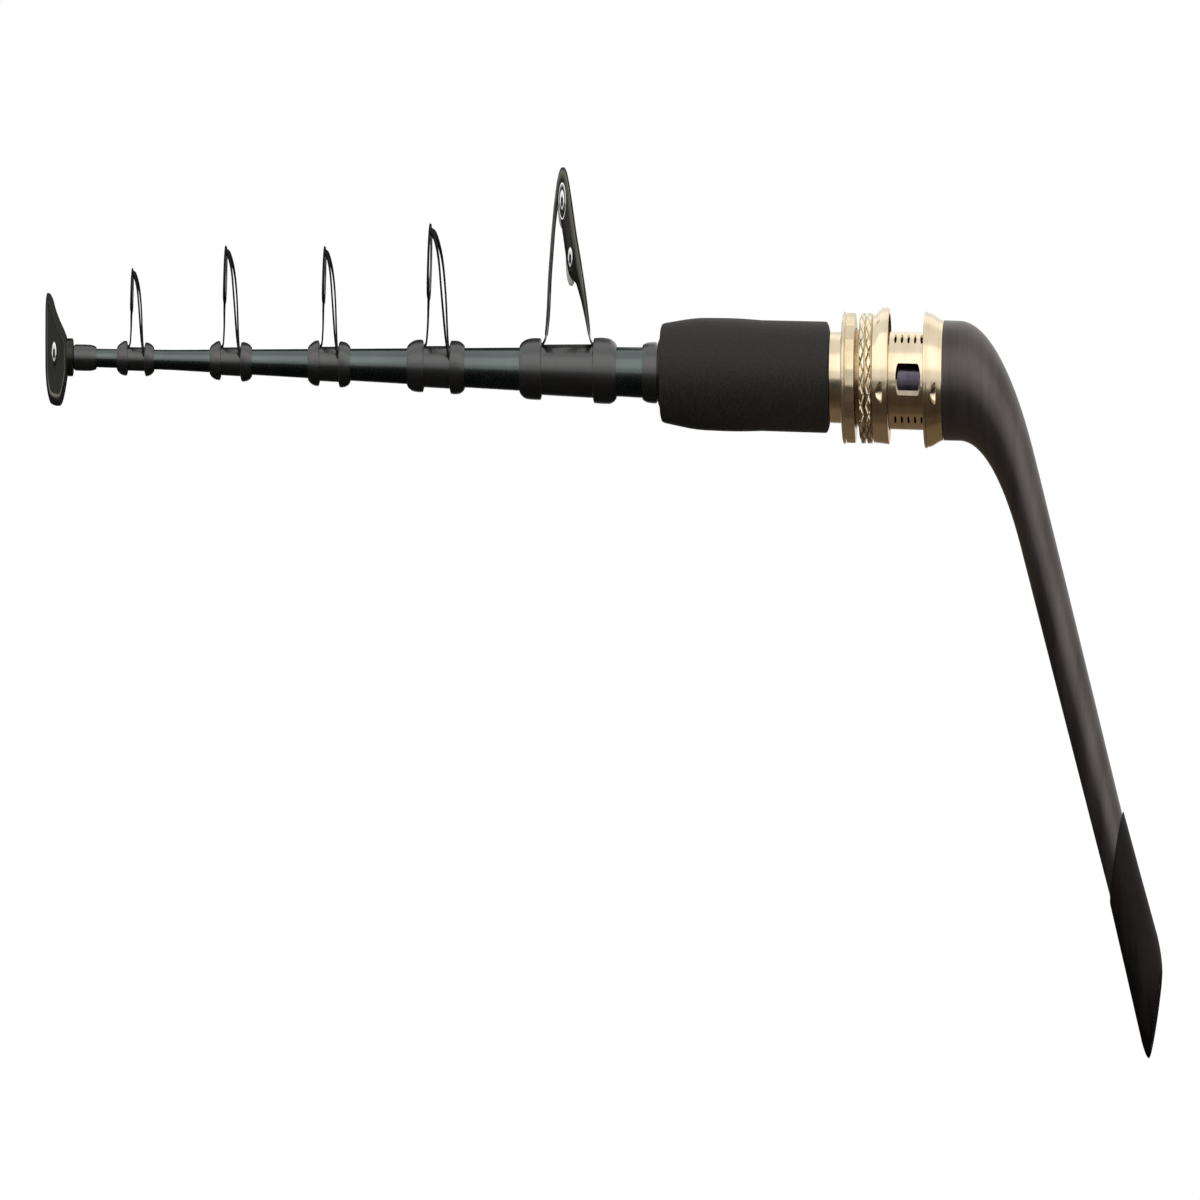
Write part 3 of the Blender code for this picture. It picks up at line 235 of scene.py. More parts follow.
# a flat prism with an (x, z) outline between two places along Y
def slab(outline, low, high):
    shape = bmesh.new()
    near, far = ([shape.verts.new((x, y, z)) for x, z in outline] for y in (low, high))
    shape.faces.new(near)
    shape.faces.new(far[::-1])
    for i in range(len(outline)):
        k = (i + 1) % len(outline)
        shape.faces.new((near[i], far[i], far[k], near[k]))
    return shape


def box(centre, size):
    shape = bmesh.new()
    bmesh.ops.create_cube(shape, size=1.0, matrix=Matrix.Translation(centre)
                          @ Matrix.Diagonal((*size, 1.0)))
    return shape


def addObject(name, shape, finish):
    mesh = bpy.data.meshes.new(name)
    shape.to_mesh(mesh)
    shape.free()
    mesh.materials.append(finish)
    thing = bpy.data.objects.new(name, mesh)
    bpy.context.collection.objects.link(thing)
    return thing


def shaded(piece, sharp):
    piece.data.shade_smooth()
    piece.data.set_sharp_from_angle(angle=math.radians(sharp))
    return piece


# the place goes into the mesh, so the object itself stays at the origin
def makePiece(name, shape, finish, place=rodLine, sharp=32):
    bmesh.ops.recalc_face_normals(shape, faces=shape.faces)
    shape.transform(place)
    return shaded(addObject(name, shape, finishes[finish]), sharp)


# keeps what the modifiers make as a plain mesh
def applied(piece, sharp=32):
    view = bpy.context.evaluated_depsgraph_get()
    piece.data = bpy.data.meshes.new_from_object(piece.evaluated_get(view))
    piece.modifiers.clear()
    return shaded(piece, sharp)


# cuts, joins or intersects with exact Booleans, and then the tools go
def carve(piece, tools, operation="DIFFERENCE", sharp=32):
    for tool in tools:
        step = piece.modifiers.new("carve", "BOOLEAN")
        step.operation, step.solver, step.object = operation, "EXACT", tool
        step.material_mode = "TRANSFER"
    applied(piece, sharp)
    for tool in tools:
        bpy.data.objects.remove(tool, do_unlink=True)
    return piece


def settle(piece, body, slot, *nodes):
    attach(piece, body)
    if nodes:
        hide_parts(*nodes)


# Camera. The photo shows heights 5.31 times larger than lengths, so this camera leans its upright
# axis into the view direction by as much. It is parallel, and turned a little so that each
# guide's near leg stands ahead of its far one.

camera = {
    "width": 1.770,
    "centreX": -0.8206,
    "centreZ": 0.1110,
    "roll": math.radians(0.285),
    "stretch": 5.31,
    "sideLook": 0.22,
    "distance": 4.0,
    "clipEnd": 20.0,
}


def makeCamera():
    look = Vector((-camera["sideLook"], 1.0, 0.0)).normalized()
    right = Vector((math.cos(camera["roll"]), 0.0, math.sin(camera["roll"])))
    upright = Vector((-math.sin(camera["roll"]), 0.0, math.cos(camera["roll"])))
    share = 1 / camera["stretch"]
    up = upright * share - look * math.sqrt(1 - share * share)
    eye = Vector((camera["centreX"], 0.0, camera["centreZ"])) - look * camera["distance"]
    data = bpy.data.cameras.new("photoCamera")
    data.type = "ORTHO"
    data.ortho_scale = camera["width"]
    data.clip_end = camera["clipEnd"]
    rig = bpy.data.objects.new("cameraRig", None)
    eyepiece = bpy.data.objects.new("photoCamera", data)
    for thing in (rig, eyepiece):
        bpy.context.collection.objects.link(thing)
    eyepiece.parent = rig
    # the parent's inverse holds the lean, which a plain rotation can't
    eyepiece.matrix_parent_inverse = Matrix((
        (right.x, up.x, -look.x, eye.x),
        (right.y, up.y, -look.y, eye.y),
        (right.z, up.z, -look.z, eye.z),
        (0.0, 0.0, 0.0, 1.0),
    ))
    bpy.context.scene.camera = eyepiece
    bpy.context.scene.view_settings.view_transform = "Standard"
    print("camera ready")


makeCamera()


# Studio. White behind, a pale floor, one wide soft lamp above the camera's side and a weaker one
# behind. Cloths lie on the floor and one stands up. Only mirrors and gloss pick them up.

studio = {
    "floorDrop": 0.0008,
    "floorSize": 14.0,
    "floorColours": ("B9B7B4", "F6F5F3"),  # as it lights the rod, and as it is seen
    "floorGlow": 0.14,
    "worldLevels": (0.80, 0.98),  # as it lights the rod, and in mirrors
    "lampColour": (1.0, 0.985, 0.96),
    "lampAim": (-0.75, 0.0, 0.15),
    # name: place, width, height, power
    "lamps": {
        "key": ((-0.75, -1.9, 1.75), 4.2, 2.0, 15.0),
        "fill": ((-0.75, 1.6, 2.4), 3.4, 1.4, 5.0),
    },
    "clothLift": 0.0004,
    # name: left, right, back, front, colour, top of a standing one. Under the seat the cloth is
    # brown and stops short, and a paper behind it gives the seat's metal its lighter lower edge.
    # The standing card behind the blank and the grip keeps their upper edges black.
    "cloths": {
        "blankCloth": (-3.2, -0.62, 0.42, -2.6, "100E0D", None),
        "seatCloth": (-0.62, -0.32, -0.09, -0.70, "3D2F22", None),
        "seatFade": (-0.62, -0.32, -0.02, -0.09, "544536", None),
        "seatPaper": (-0.62, -0.32, 0.60, -0.02, "74644F", None),
        "buttCloth": (-0.32, 1.9, 0.42, -2.6, "100E0D", None),
        "blankCard": (-3.2, -0.93, 0.60, 0.60, "0A0909", 1.40),
    },
}


def addSheet(name, left, right, back, front, low, high, finish):
    shape = bmesh.new()
    shape.faces.new([shape.verts.new(corner) for corner in (
        (left, front, low), (right, front, low), (right, back, high), (left, back, high),
    )])
    sheet = addObject(name, shape, finish)
    return sheet


# 1 for camera, glossy and transmission rays and 0 for the diffuse light that falls on the rod,
# and then the same for camera rays alone
def seenRays(tree):
    rays = addNode(tree, "ShaderNodeLightPath").outputs
    first = addNode(tree, "ShaderNodeMath", operation="MAXIMUM",
                    links={0: rays["Is Camera Ray"], 1: rays["Is Glossy Ray"]})
    both = addNode(tree, "ShaderNodeMath", operation="MAXIMUM",
                   links={0: first.outputs[0], 1: rays["Is Transmission Ray"]})
    return both.outputs[0], rays["Is Camera Ray"]


def makeFloor(ground):
    finish, tree, shader = startFinish("paleFloor", Roughness=1.0, Specular_IOR_Level=0.0,
                                       Emission_Color=(1.0, 1.0, 1.0, 1.0))
    seen, sight = seenRays(tree)
    dull, pale = (fromHex(colour) for colour in studio["floorColours"])
    shade = addNode(tree, "ShaderNodeMix", data_type="RGBA", links={"Factor": seen},
                    values={"A": dull, "B": pale})
    tree.links.new(shade.outputs["Result"], shader.inputs["Base Color"])
    # a little light of its own, for the camera only, brings the floor near the white behind it
    glow = addNode(tree, "ShaderNodeMath", operation="MULTIPLY", links={0: sight},
                   values={1: studio["floorGlow"]})
    tree.links.new(glow.outputs[0], shader.inputs["Emission Strength"])
    half, middle = studio["floorSize"] / 2, camera["centreX"]
    addSheet("floor", middle - half, middle + half, half, -half, ground, ground, finish)


def makeWorld():
    world = bpy.data.worlds.new("studio")
    world.use_nodes = True
    tree = world.node_tree
    seen, sight = seenRays(tree)
    dim, clear = studio["worldLevels"]
    mirrored = addNode(tree, "ShaderNodeMix", data_type="FLOAT", links={"Factor": seen},
                       values={"A": dim, "B": clear})
    level = addNode(tree, "ShaderNodeMath", operation="MAXIMUM",
                    links={0: mirrored.outputs["Result"], 1: sight})
    tree.links.new(level.outputs[0], tree.nodes["Background"].inputs["Strength"])
    tree.nodes["Background"].inputs["Color"].default_value = (1.0, 1.0, 1.0, 1.0)
    bpy.context.scene.world = world


def makeStudio():
    ground = cadBounds[0].z - studio["floorDrop"]
    makeFloor(ground)
    for name, (left, right, back, front, colour, top) in studio["cloths"].items():
        finish = startFinish(name, Roughness=1.0, Base_Color=fromHex(colour))[0]
        low = ground if top else ground + studio["clothLift"]
        cloth = addSheet(name, left, right, back, front, low, top or low, finish)
        cloth.visible_camera = cloth.visible_diffuse = cloth.visible_shadow = False
    makeWorld()
    for name, (at, width, height, power) in studio["lamps"].items():
        data = bpy.data.lights.new(name, "AREA")
        data.shape = "RECTANGLE"
        data.size, data.size_y, data.energy = width, height, power
        data.color = studio["lampColour"]
        lamp = bpy.data.objects.new(name, data)
        lamp.location = at
        aim = Vector(studio["lampAim"]) - Vector(at)
        lamp.rotation_euler = aim.to_track_quat("-Z", "Y").to_euler()
        bpy.context.collection.objects.link(lamp)
    print("studio ready")


makeStudio()


# Finishes. Object coordinates are metres, so a scale of 1000 is a pattern of about a millimetre.

# where a pattern lies: stretched along the rod, or leant with the butt
def placeCoords(tree, stretch=(1.0, 1.0, 1.0), lean=0.0):
    spot = addNode(tree, "ShaderNodeTexCoord")
    place = addNode(tree, "ShaderNodeMapping", links={"Vector": spot.outputs["Object"]},
                    values={"Rotation": (0.0, lean, 0.0), "Scale": stretch})
    return place.outputs[0]


# Tones and levels are a pattern and its (place, sRGB hex or plain level) stops, for the colour
# and the roughness. A bump is a pattern, its strength and its depth in metres.
def layPatterns(tree, shader, tones, levels=None, bump=None):
    for name, plan in (("Base Color", tones), ("Roughness", levels)):
        if plan is None:
            continue
        source, *stops = plan
        ramp = addNode(tree, "ShaderNodeValToRGB", links={"Fac": source})
        marks = ramp.color_ramp.elements
        while len(marks) < len(stops):
            marks.new(0.5)
        for mark, (spot, look) in zip(marks, stops):
            mark.position = spot
            mark.color = fromHex(look) if isinstance(look, str) else (look, look, look, 1.0)
        tree.links.new(ramp.outputs["Color"], shader.inputs[name])
    if bump:
        relief = addNode(tree, "ShaderNodeBump", links={"Height": bump[0]},
                         values={"Strength": bump[1], "Distance": bump[2]})
        tree.links.new(relief.outputs["Normal"], shader.inputs["Normal"])


# a lathe-turned metal: faint rings round the rod's line and a softly uneven colour
def makeTurnedMetal(name, light, dark, rough, marks=0.35, metallic=1.0):
    finish, tree, shader = startFinish(name, Metallic=metallic)
    cloud = addNode(tree, "ShaderNodeTexNoise", links={"Vector": placeCoords(tree)},
                    values={"Scale": 70.0, "Detail": 4.0, "Roughness": 0.55})
    # real tool marks are 0.1 mm apart, drawn at 0.5 mm to show at all
    rings = placeCoords(tree, stretch=(1.0, 0.03, 0.03))
    streak = addNode(tree, "ShaderNodeTexNoise", links={"Vector": rings},
                     values={"Scale": 2000.0, "Detail": 2.0, "Roughness": 0.55}).outputs["Fac"]
    layPatterns(tree, shader, (cloud.outputs["Fac"], (0.30, dark), (0.72, light)),
                (streak, (0.25, rough - 0.05), (0.75, rough + 0.06)), (streak, marks, 0.00003))
    return finish


# black winding thread under epoxy: round threads lie side by side below a smooth gloss
def makeThread():
    finish, tree, shader = startFinish("epoxiedThread", Roughness=0.42, Specular_IOR_Level=0.6,
                                       Coat_Weight=0.9, Coat_Roughness=0.26, Coat_IOR=1.62)
    coords = placeCoords(tree)
    # 0.25 mm thread drawn at 0.9 mm
    turns = addNode(tree, "ShaderNodeTexWave", bands_direction="X", links={"Vector": coords},
                    values={"Scale": 350.0, "Distortion": 0.6, "Detail": 2.0,
                            "Detail Scale": 0.4}).outputs["Fac"]
    cloud = addNode(tree, "ShaderNodeTexNoise", links={"Vector": coords},
                    values={"Scale": 160.0, "Detail": 3.0, "Roughness": 0.55})
    mixed = addNode(tree, "ShaderNodeMath", operation="MULTIPLY_ADD",
                    links={0: cloud.outputs["Fac"], 2: turns}, values={1: 0.8})
    layPatterns(tree, shader, (mixed.outputs[0], (0.35, "050504"), (0.95, "0F0D0C"),
                               (1.0, "181614")), bump=(turns, 0.45, 0.00008))
    return finish


# black fibreglass with a green-grey metallic lacquer, which catches the lamp as a cool band
def makeLacquer():
    finish, tree, shader = startFinish("blankLacquer", Metallic=1.0, Coat_Weight=0.5,
                                       Coat_Roughness=0.10, Coat_IOR=1.5)
    coords = placeCoords(tree, stretch=(0.25, 1.0, 1.0))
    flake = addNode(tree, "ShaderNodeTexNoise", links={"Vector": coords},
                    values={"Scale": 2200.0, "Detail": 2.0, "Roughness": 0.55}).outputs["Fac"]
    cloud = addNode(tree, "ShaderNodeTexNoise", links={"Vector": coords},
                    values={"Scale": 45.0, "Detail": 3.0, "Roughness": 0.55})
    mixed = addNode(tree, "ShaderNodeMath", operation="MULTIPLY_ADD",
                    links={0: flake, 2: cloud.outputs["Fac"]}, values={1: 0.35})
    layPatterns(tree, shader, (mixed.outputs[0], (0.35, "495250"), (0.75, "586260"),
                               (1.0, "626D6A")), (flake, (0.3, 0.24), (0.7, 0.34)))
    return finish


# closed-cell EVA: a fine open grain with no gloss
def makeFoam():
    finish, tree, shader = startFinish("evaFoam", Specular_IOR_Level=0.36)
    coords = placeCoords(tree)
    cells = addNode(tree, "ShaderNodeTexVoronoi", links={"Vector": coords},
                    values={"Scale": 1100.0, "Randomness": 1.0})
    grain = addNode(tree, "ShaderNodeTexNoise", links={"Vector": coords},
                    values={"Scale": 420.0, "Detail": 6.0, "Roughness": 0.7}).outputs["Fac"]
    mixed = addNode(tree, "ShaderNodeMath", operation="MULTIPLY_ADD",
                    links={0: cells.outputs["Distance"], 2: grain}, values={1: 0.5}).outputs[0]
    layPatterns(tree, shader, (mixed, (0.40, "120F0C"), (0.70, "1E1A16"), (0.95, "28231F")),
                (grain, (0.3, 0.56), (0.7, 0.70)), (mixed, 0.55, 0.00025))
    return finish


# powder coats, satin steel, rubber and ceramic: an even ground with a fine grain
def makeGrained(name, light, dark, rough, metallic, scale, bump, coat=0.0, specular=0.5,
                stretch=(1.0, 1.0, 1.0), lean=0.0):
    finish, tree, shader = startFinish(name, Metallic=metallic, Coat_Weight=coat,
                                       Coat_Roughness=0.12, Specular_IOR_Level=specular)
    coords = placeCoords(tree, stretch, lean)
    grain = addNode(tree, "ShaderNodeTexNoise", links={"Vector": coords},
                    values={"Scale": scale, "Detail": 4.0, "Roughness": 0.6}).outputs["Fac"]
    cloud = addNode(tree, "ShaderNodeTexNoise", links={"Vector": coords},
                    values={"Scale": scale / 14, "Detail": 3.0, "Roughness": 0.55}).outputs["Fac"]
    mixed = addNode(tree, "ShaderNodeMath", operation="MULTIPLY_ADD",
                    links={0: grain, 2: cloud}, values={1: 0.4})
    layPatterns(tree, shader, (mixed.outputs[0], (0.45, dark), (0.95, light)),
                (cloud, (0.3, rough - 0.05), (0.7, rough + 0.05)), (grain, bump, 0.00006))
    return finish


# the tone goes by the distance from the rod's line: painted highlight on the ridges and painted
# shade in the cuts
def makeKnurl():
    finish, tree, shader = startFinish("knurlShadedGold", Metallic=1.0)
    coords = placeCoords(tree)
    local = addNode(tree, "ShaderNodeVectorMath", operation="MULTIPLY_ADD", links={0: coords},
                    values={1: (0.0, 1.0, 1.0), 2: (0.0, 0.0, -line["height"])})
    reach = addNode(tree, "ShaderNodeVectorMath", operation="LENGTH",
                    links={0: local.outputs["Vector"]})
    # from near the bottom of the cuts to near their top
    share = addNode(tree, "ShaderNodeMapRange", links={"Value": reach.outputs["Value"]},
                    values={"From Min": 0.0170, "From Max": 0.0180})
    grain = addNode(tree, "ShaderNodeTexNoise", links={"Vector": coords},
                    values={"Scale": 900.0, "Detail": 3.0, "Roughness": 0.55}).outputs["Fac"]
    layPatterns(tree, shader, (share.outputs["Result"], (0.25, "BDA57C"), (0.75, "DFCFAC"),
                               (1.0, "EDE3CB")), (grain, (0.3, 0.20), (0.7, 0.32)),
                (grain, 0.15, 0.00004))
    return finish


finishes = {
    # pale champagne anodising that mirrors the lamp as a broad cream band
    "gold": makeTurnedMetal("goldAnodised", "EADBC0", "DBC9A8", 0.20),
    # the same gold painted browner and darker: painted shade on the thread where the nuts run
    "threadShadedGold": makeTurnedMetal("threadGoldShaded", "C6A878", "A68450", 0.28),
    # almost colourless, matt anodising of the jam nut, the palest part of the seat
    "pale": makeTurnedMetal("paleAnodised", "E2D3B6", "CDBB98", 0.22, marks=0.15, metallic=0.94),
    # crossed ridges with a painted highlight over grooves with painted brown shade
    "knurl": makeKnurl(),
    # the slot's lip, the seat's gold painted duller and greyer than the turned faces: a painted
    # shade that dims its reflection of the lamp
    "lip": makeTurnedMetal("slotLipShaded", "BDB1A0", "A79B89", 0.36),
    # painted shade deep in slots and holes, where hardly any light comes back
    "hollow": makeTurnedMetal("hollowPaintedShade", "2A211A", "17120E", 0.45),
    # satin steel of rollers, bright and slightly warm even where it faces the dark cloth
    "steel": makeGrained("rollerSteel", "E4E0DB", "CBC6C0", 0.38, 0.45, 700.0, bump=0.10,
                         stretch=(0.03, 1.0, 0.03)),
    # polished chrome of screws and nuts, the brightest spots on the guides
    "chrome": makeTurnedMetal("chromedSteel", "E8E8E8", "CFCFD0", 0.10, marks=0.1),
    # oil-filled bearing bronze, dull and brown
    "bronze": makeTurnedMetal("sinteredBronze", "A07A46", "7C5A30", 0.42),
    "blank": makeLacquer(),
    "thread": makeThread(),
    "foam": makeFoam(),
    # satin black with a warm grey bloom on the side that faces the lamp
    "butt": makeGrained("blackButt", "5B5553", "45403F", 0.36, 0.75, 900.0, bump=0.25,
                        lean=-slope, stretch=(1.0, 0.25, 0.25)),
    # moulded rubber: dead black, only a weak sheen
    "rubber": makeGrained("blackRubber", "1E1816", "0F0C0B", 0.60, 0.0, 1500.0, bump=0.5,
                          specular=0.12),
    # black oxide under clear coat, which outlines the roller frames with thin bright lines
    "coated": makeGrained("blackCoated", "201F1C", "0C0B0A", 0.30, 0.35, 1300.0, bump=0.12,
                          coat=0.3, specular=0.3),
    # the same black baked on wire without clear coat, so that thin wires stay dark to their edges
    "wire": makeGrained("blackWire", "161412", "080707", 0.42, 0.0, 1300.0, bump=0.12,
                        specular=0.12),
    # the raised edges of the frames in a lighter green-grey: a painted highlight
    "edgeHighlight": makeGrained("edgePaintedHighlight", "6B6A60", "4F4E46", 0.34, 0.85, 1300.0, bump=0.12),
    # fine grey ceramic with a polished face
    "ceramic": makeGrained("ceramicRing", "6A6C70", "4B4D50", 0.14, 0.0, 800.0, bump=0.05,
                           coat=0.8),
    # dull violet-grey anodising, seen through the slot
    "sleeve": makeGrained("darkSleeve", "716A76", "544E5A", 0.26, 0.95, 700.0, bump=0.15),
}
print("finishes ready")


# Blank

blank = {"rear": 0.024, "gripFront": 0.4187, "mid": 1.142, "tip": 1.2965, "buttRadius": 0.0073,
         "midRadius": 0.0028, "tipRadius": 0.0025, "bore": 0.0048, "tipBore": 0.0010}


def blankRadius(ahead):
    if ahead < blank["gripFront"]:
        return blank["buttRadius"]
    first, last, a, b = (blank[key] for key in (
        ("mid", "tip", "midRadius", "tipRadius") if ahead > blank["mid"]
        else ("gripFront", "mid", "buttRadius", "midRadius")))
    return a + (b - a) * (ahead - first) / (last - first)


def makeBlank():
    rear, middle, tip = blank["rear"], blank["gripFront"], blank["tip"]
    stations = [rear + (middle - rear) * k / 6 for k in range(6)]
    stations += [middle + (tip - middle) * k / 44 for k in range(45)]
    outer = [(-s, blankRadius(s)) for s in stations]
    bore = [(-tip, blank["tipBore"]), (-middle, blank["bore"]), (-rear, blank["bore"])]
    settle(makePiece("blankTube", turned(outer + bore, sides=72), "blank"),
           "rod", "blank_fibreglass", "blank")
    print("blank ready")


makeBlank()


# Guides' places, and the thread wraps over their feet. The feet meet the blank "front" ahead of a
# guide's middle and "rear" or so behind it, and run on under their wraps.

guides = (
    {"ahead": 1.1980, "height": 0.0190, "loop": 0.00555, "wire": 0.00075, "front": 0.0032,
     "rear": 0.0159, "frontWrap": 0.0165, "rearWrap": 0.0145},
    {"ahead": 1.0605, "height": 0.0241, "loop": 0.00740, "wire": 0.00080, "front": 0.0033,
     "rear": 0.0200, "frontWrap": 0.0170, "rearWrap": 0.0170},
    {"ahead": 0.9146, "height": 0.0247, "loop": 0.00740, "wire": 0.00080, "front": 0.0037,
     "rear": 0.0188, "frontWrap": 0.0175, "rearWrap": 0.0175},
    {"ahead": 0.7592, "height": 0.0292, "loop": 0.00990, "wire": 0.00090, "front": 0.0054,
     "rear": 0.0275, "frontWrap": 0.0250, "rearWrap": 0.0220},
)
guideFit = {"lean": math.radians(8), "ringWall": 0.0013, "ringLong": 0.0026, "footHalf": 0.0014,
            "footThick": 0.0008, "footAngle": math.radians(55), "wrapGap": 0.0024,
            "underReach": 0.003, "underThick": 0.0005,
            # how wide the braces bow out and how thick they are, against the loop and the wire, and
            # how far they have come in again at the ankle
            "spread": 1.40, "brace": 1.5, "ankle": 0.72}
stripper = {"ahead": 0.5622, "frontBase": 0.0279, "rearBase": 0.0411, "frontWrap": 0.0330,
            "rearWrap": 0.0350, "wrapGap": 0.0030, "underReach": 0.0050, "underThick": 0.0007,
            "strap": 0.0010,
            # (x, z) of the straps that close the frame below, from the cheeks down to each foot
            "frontStrap": ((-0.0199, 0.0215), (-0.0218, 0.0150), (-0.0249, 0.0095)),
            "rearStrap": ((0.0322, 0.0188), (0.0350, 0.0150), (0.0389, 0.0098)),
            "corner": 0.0022, "ribHeight": 0.00042, "ribSunk": 0.0001,
            # the bright ring round the upper axle: radius, half width, height above the cheek
            "boss": (0.0049, 0.00055, 0.00035)}
wraps = {"sides": 56, "ramp": 0.0120, "blunt": 0.0026, "bluntPower": 0.7, "edge": 0.00045,
         "belly": 0.03, "shoulder": (1.9, 0.75),  # powers of the tapered end's curve
         "ridge": 0.00035, "ridgeHalf": 0.42,
         "guideRise": 0.0020, "stripperRise": 0.0022, "underEnd": 0.0016,
         # name: node, full end, tapered end, rise
         "single": {"gripWrap": ("grip_wrap", 0.4225, 0.4445, 0.0013),
                    "tipWrap": ("tip_wrap", 1.2839, 1.2504, 0.0011)}}


# outer rows from the full, blunt end over a belly of epoxy to the tapered end
def wrapProfile(near, far, rise):
    way = 1 if far > near else -1
    edge, blunt, ramp = wraps["edge"], wraps["blunt"], wraps["ramp"]
    bow, soft = wraps["shoulder"]
    shares = [k / 9 for k in range(10)]
    rows = [(near + way * blunt * t,
             edge + (rise - edge) * math.sin(t * math.pi / 2) ** wraps["bluntPower"])
            for t in shares]
    rows += [(near + way * blunt + (far - near - way * (blunt + ramp)) * t,
              rise * (1 + wraps["belly"] * math.sin(math.pi * t))) for t in (0.25, 0.5, 0.75)]
    rows += [(far - way * ramp * (1 - t), edge + (rise - edge) * (1 - t ** bow) ** soft)
             for t in shares]
    return [(-s, blankRadius(s) + height) for s, height in rows]


# ridges are angles round the blank where a guide's foot lifts the thread
def makeWrap(name, near, far, rise, node, ridges=()):
    way = 1 if far > near else -1
    inner = [(-s, blankRadius(s) + 0.0001) for s in (far, near)]

    def lifted(x, radius, angle):
        if radius < blankRadius(-x) + 0.0002 or not ridges:
            return radius
        along = ease((far - way * 0.0035 + x) * way / (0.55 * abs(far - near)))
        top = 0.0
        for middle in ridges:
            off = abs((angle - middle + math.pi) % (2 * math.pi) - math.pi)
            top = max(top, math.exp(-(off / wraps["ridgeHalf"]) ** 2))
        return radius + wraps["ridge"] * top * along

    shape = turned(wrapProfile(near, far, rise) + inner, wraps["sides"], relief=lifted)
    settle(makePiece(name, shape, "thread"), "rod", "epoxied_thread", node)


# one flat layer of thread with rounded ends
def makeUnderwrap(name, front, rear, size, *nodes):
    front, rear, thick = front + size["underReach"], rear - size["underReach"], size["underThick"]
    end, shares = wraps["underEnd"], [k / 4 for k in range(5)]
    rows = [(rear + end * t, 0.0001 + thick * math.sin(t * math.pi / 2)) for t in shares]
    rows += [(front - end * (1 - t), 0.0001 + thick * math.cos(t * math.pi / 2)) for t in shares]
    outer = [(-s, blankRadius(s) + height) for s, height in rows]
    inner = [(-s, blankRadius(s) + 0.00005) for s in (front, rear)]
    settle(makePiece(name, turned(outer + inner, wraps["sides"]), "thread"),
           "rod", "epoxied_thread", *nodes)


def makeFootWraps(name, node, front, rear, size, rise, rearRidges):
    for side, start, way, ridges in (("front", front, 1, (0.0,)), ("rear", rear, -1, rearRidges)):
        makeWrap(f"{name}{side.title()}Wrap", start, start + way * size[f"{side}Wrap"], rise,
                 f"{node}_{side}_wrap", ridges)


def makeAllWraps():
    foot, gap = guideFit["footAngle"], guideFit["wrapGap"]
    for number, size in enumerate(guides, start=1):
        front = size["ahead"] + size["front"] + gap
        rear = size["ahead"] - size["rear"] - gap
        makeFootWraps(f"guide{number}", f"guide_{number}", front, rear, size,
                      wraps["guideRise"], (foot, -foot))
        makeUnderwrap(f"guide{number}Underwrap", front, rear, guideFit)
    front = stripper["ahead"] + stripper["frontBase"]
    rear = stripper["ahead"] - stripper["rearBase"]
    makeFootWraps("stripper", "stripper", front + stripper["wrapGap"], rear - stripper["wrapGap"],
                  stripper, wraps["stripperRise"], (0.0,))
    makeUnderwrap("stripperUnderwrap", front, rear, stripper, "stripper_underwrap")
    for name, (node, near, far, rise) in wraps["single"].items():
        makeWrap(name, near, far, rise, node)
    print("wraps ready")


makeAllWraps()


# Foregrip and its winding check

grip = {"rear": 0.1682, "front": 0.4187, "rearRadius": 0.0155, "belly": 0.0157,
        "frontRadius": 0.0137, "bore": 0.0076,
        # how far the rounded ends reach along the grip and in
        "rearRound": (0.0065, 0.0042), "frontRound": (0.0045, 0.0030),
        # the winding check's profile: place from its rear face, radius
        "check": ((0.0, 0.0076), (0.0, 0.0094), (0.0014, 0.0094), (0.0028, 0.0085),
                  (0.0032, 0.0080), (0.0032, 0.0076))}


def makeGrip():
    rear, front, belly = grip["rear"], grip["front"], grip["belly"]
    span = front - rear
    flank = smoothPath([
        (rear + 0.40 * span, grip["rearRadius"] - 0.0001),
        (rear + 0.53 * span, 0.5 * (grip["rearRadius"] + belly) + 0.0001),
        (rear + 0.66 * span, belly), (rear + 0.80 * span, belly - 0.0003),
        (front - 0.0065, grip["frontRadius"] + 0.0002)], 6)
    along, drop = grip["rearRound"]
    rearEnd = [(rear + along * (1 - math.cos(a)), grip["rearRadius"] - drop * (1 - math.sin(a)))
               for a in quarter(8)]
    along, drop = grip["frontRound"]
    frontEnd = [(front - along * (1 - math.sin(a)), grip["frontRadius"] - drop + drop * math.cos(a))
                for a in quarter(8)]
    outer = [(-s, r) for s, r in rearEnd + flank + frontEnd]
    inner = [(-front, grip["bore"]), (-rear, grip["bore"])]
    foam = makePiece("foamForegrip", turned(outer + inner, sides=96), "foam")
    settle(foam, "rod", "eva_foam", "foregrip")

    start = front + line["fitGap"]
    rows = softened([(-start - along, radius) for along, radius in grip["check"]], 0.0003)
    settle(makePiece("windingCheck", turned(rows, sides=72), "coated"),
           "rod", "black_coated", "winding_check")
    print("grip ready")


makeGrip()


# Ring guides: a banded ring holder, a leaf-shaped stem that turns into the front foot, and two
# braces that spread to the rear feet

def footPlace(ahead, angle, thickness):
    reach = blankRadius(ahead) + line["fitGap"] + thickness / 2
    return -ahead, -reach * math.sin(angle), reach * math.cos(angle)


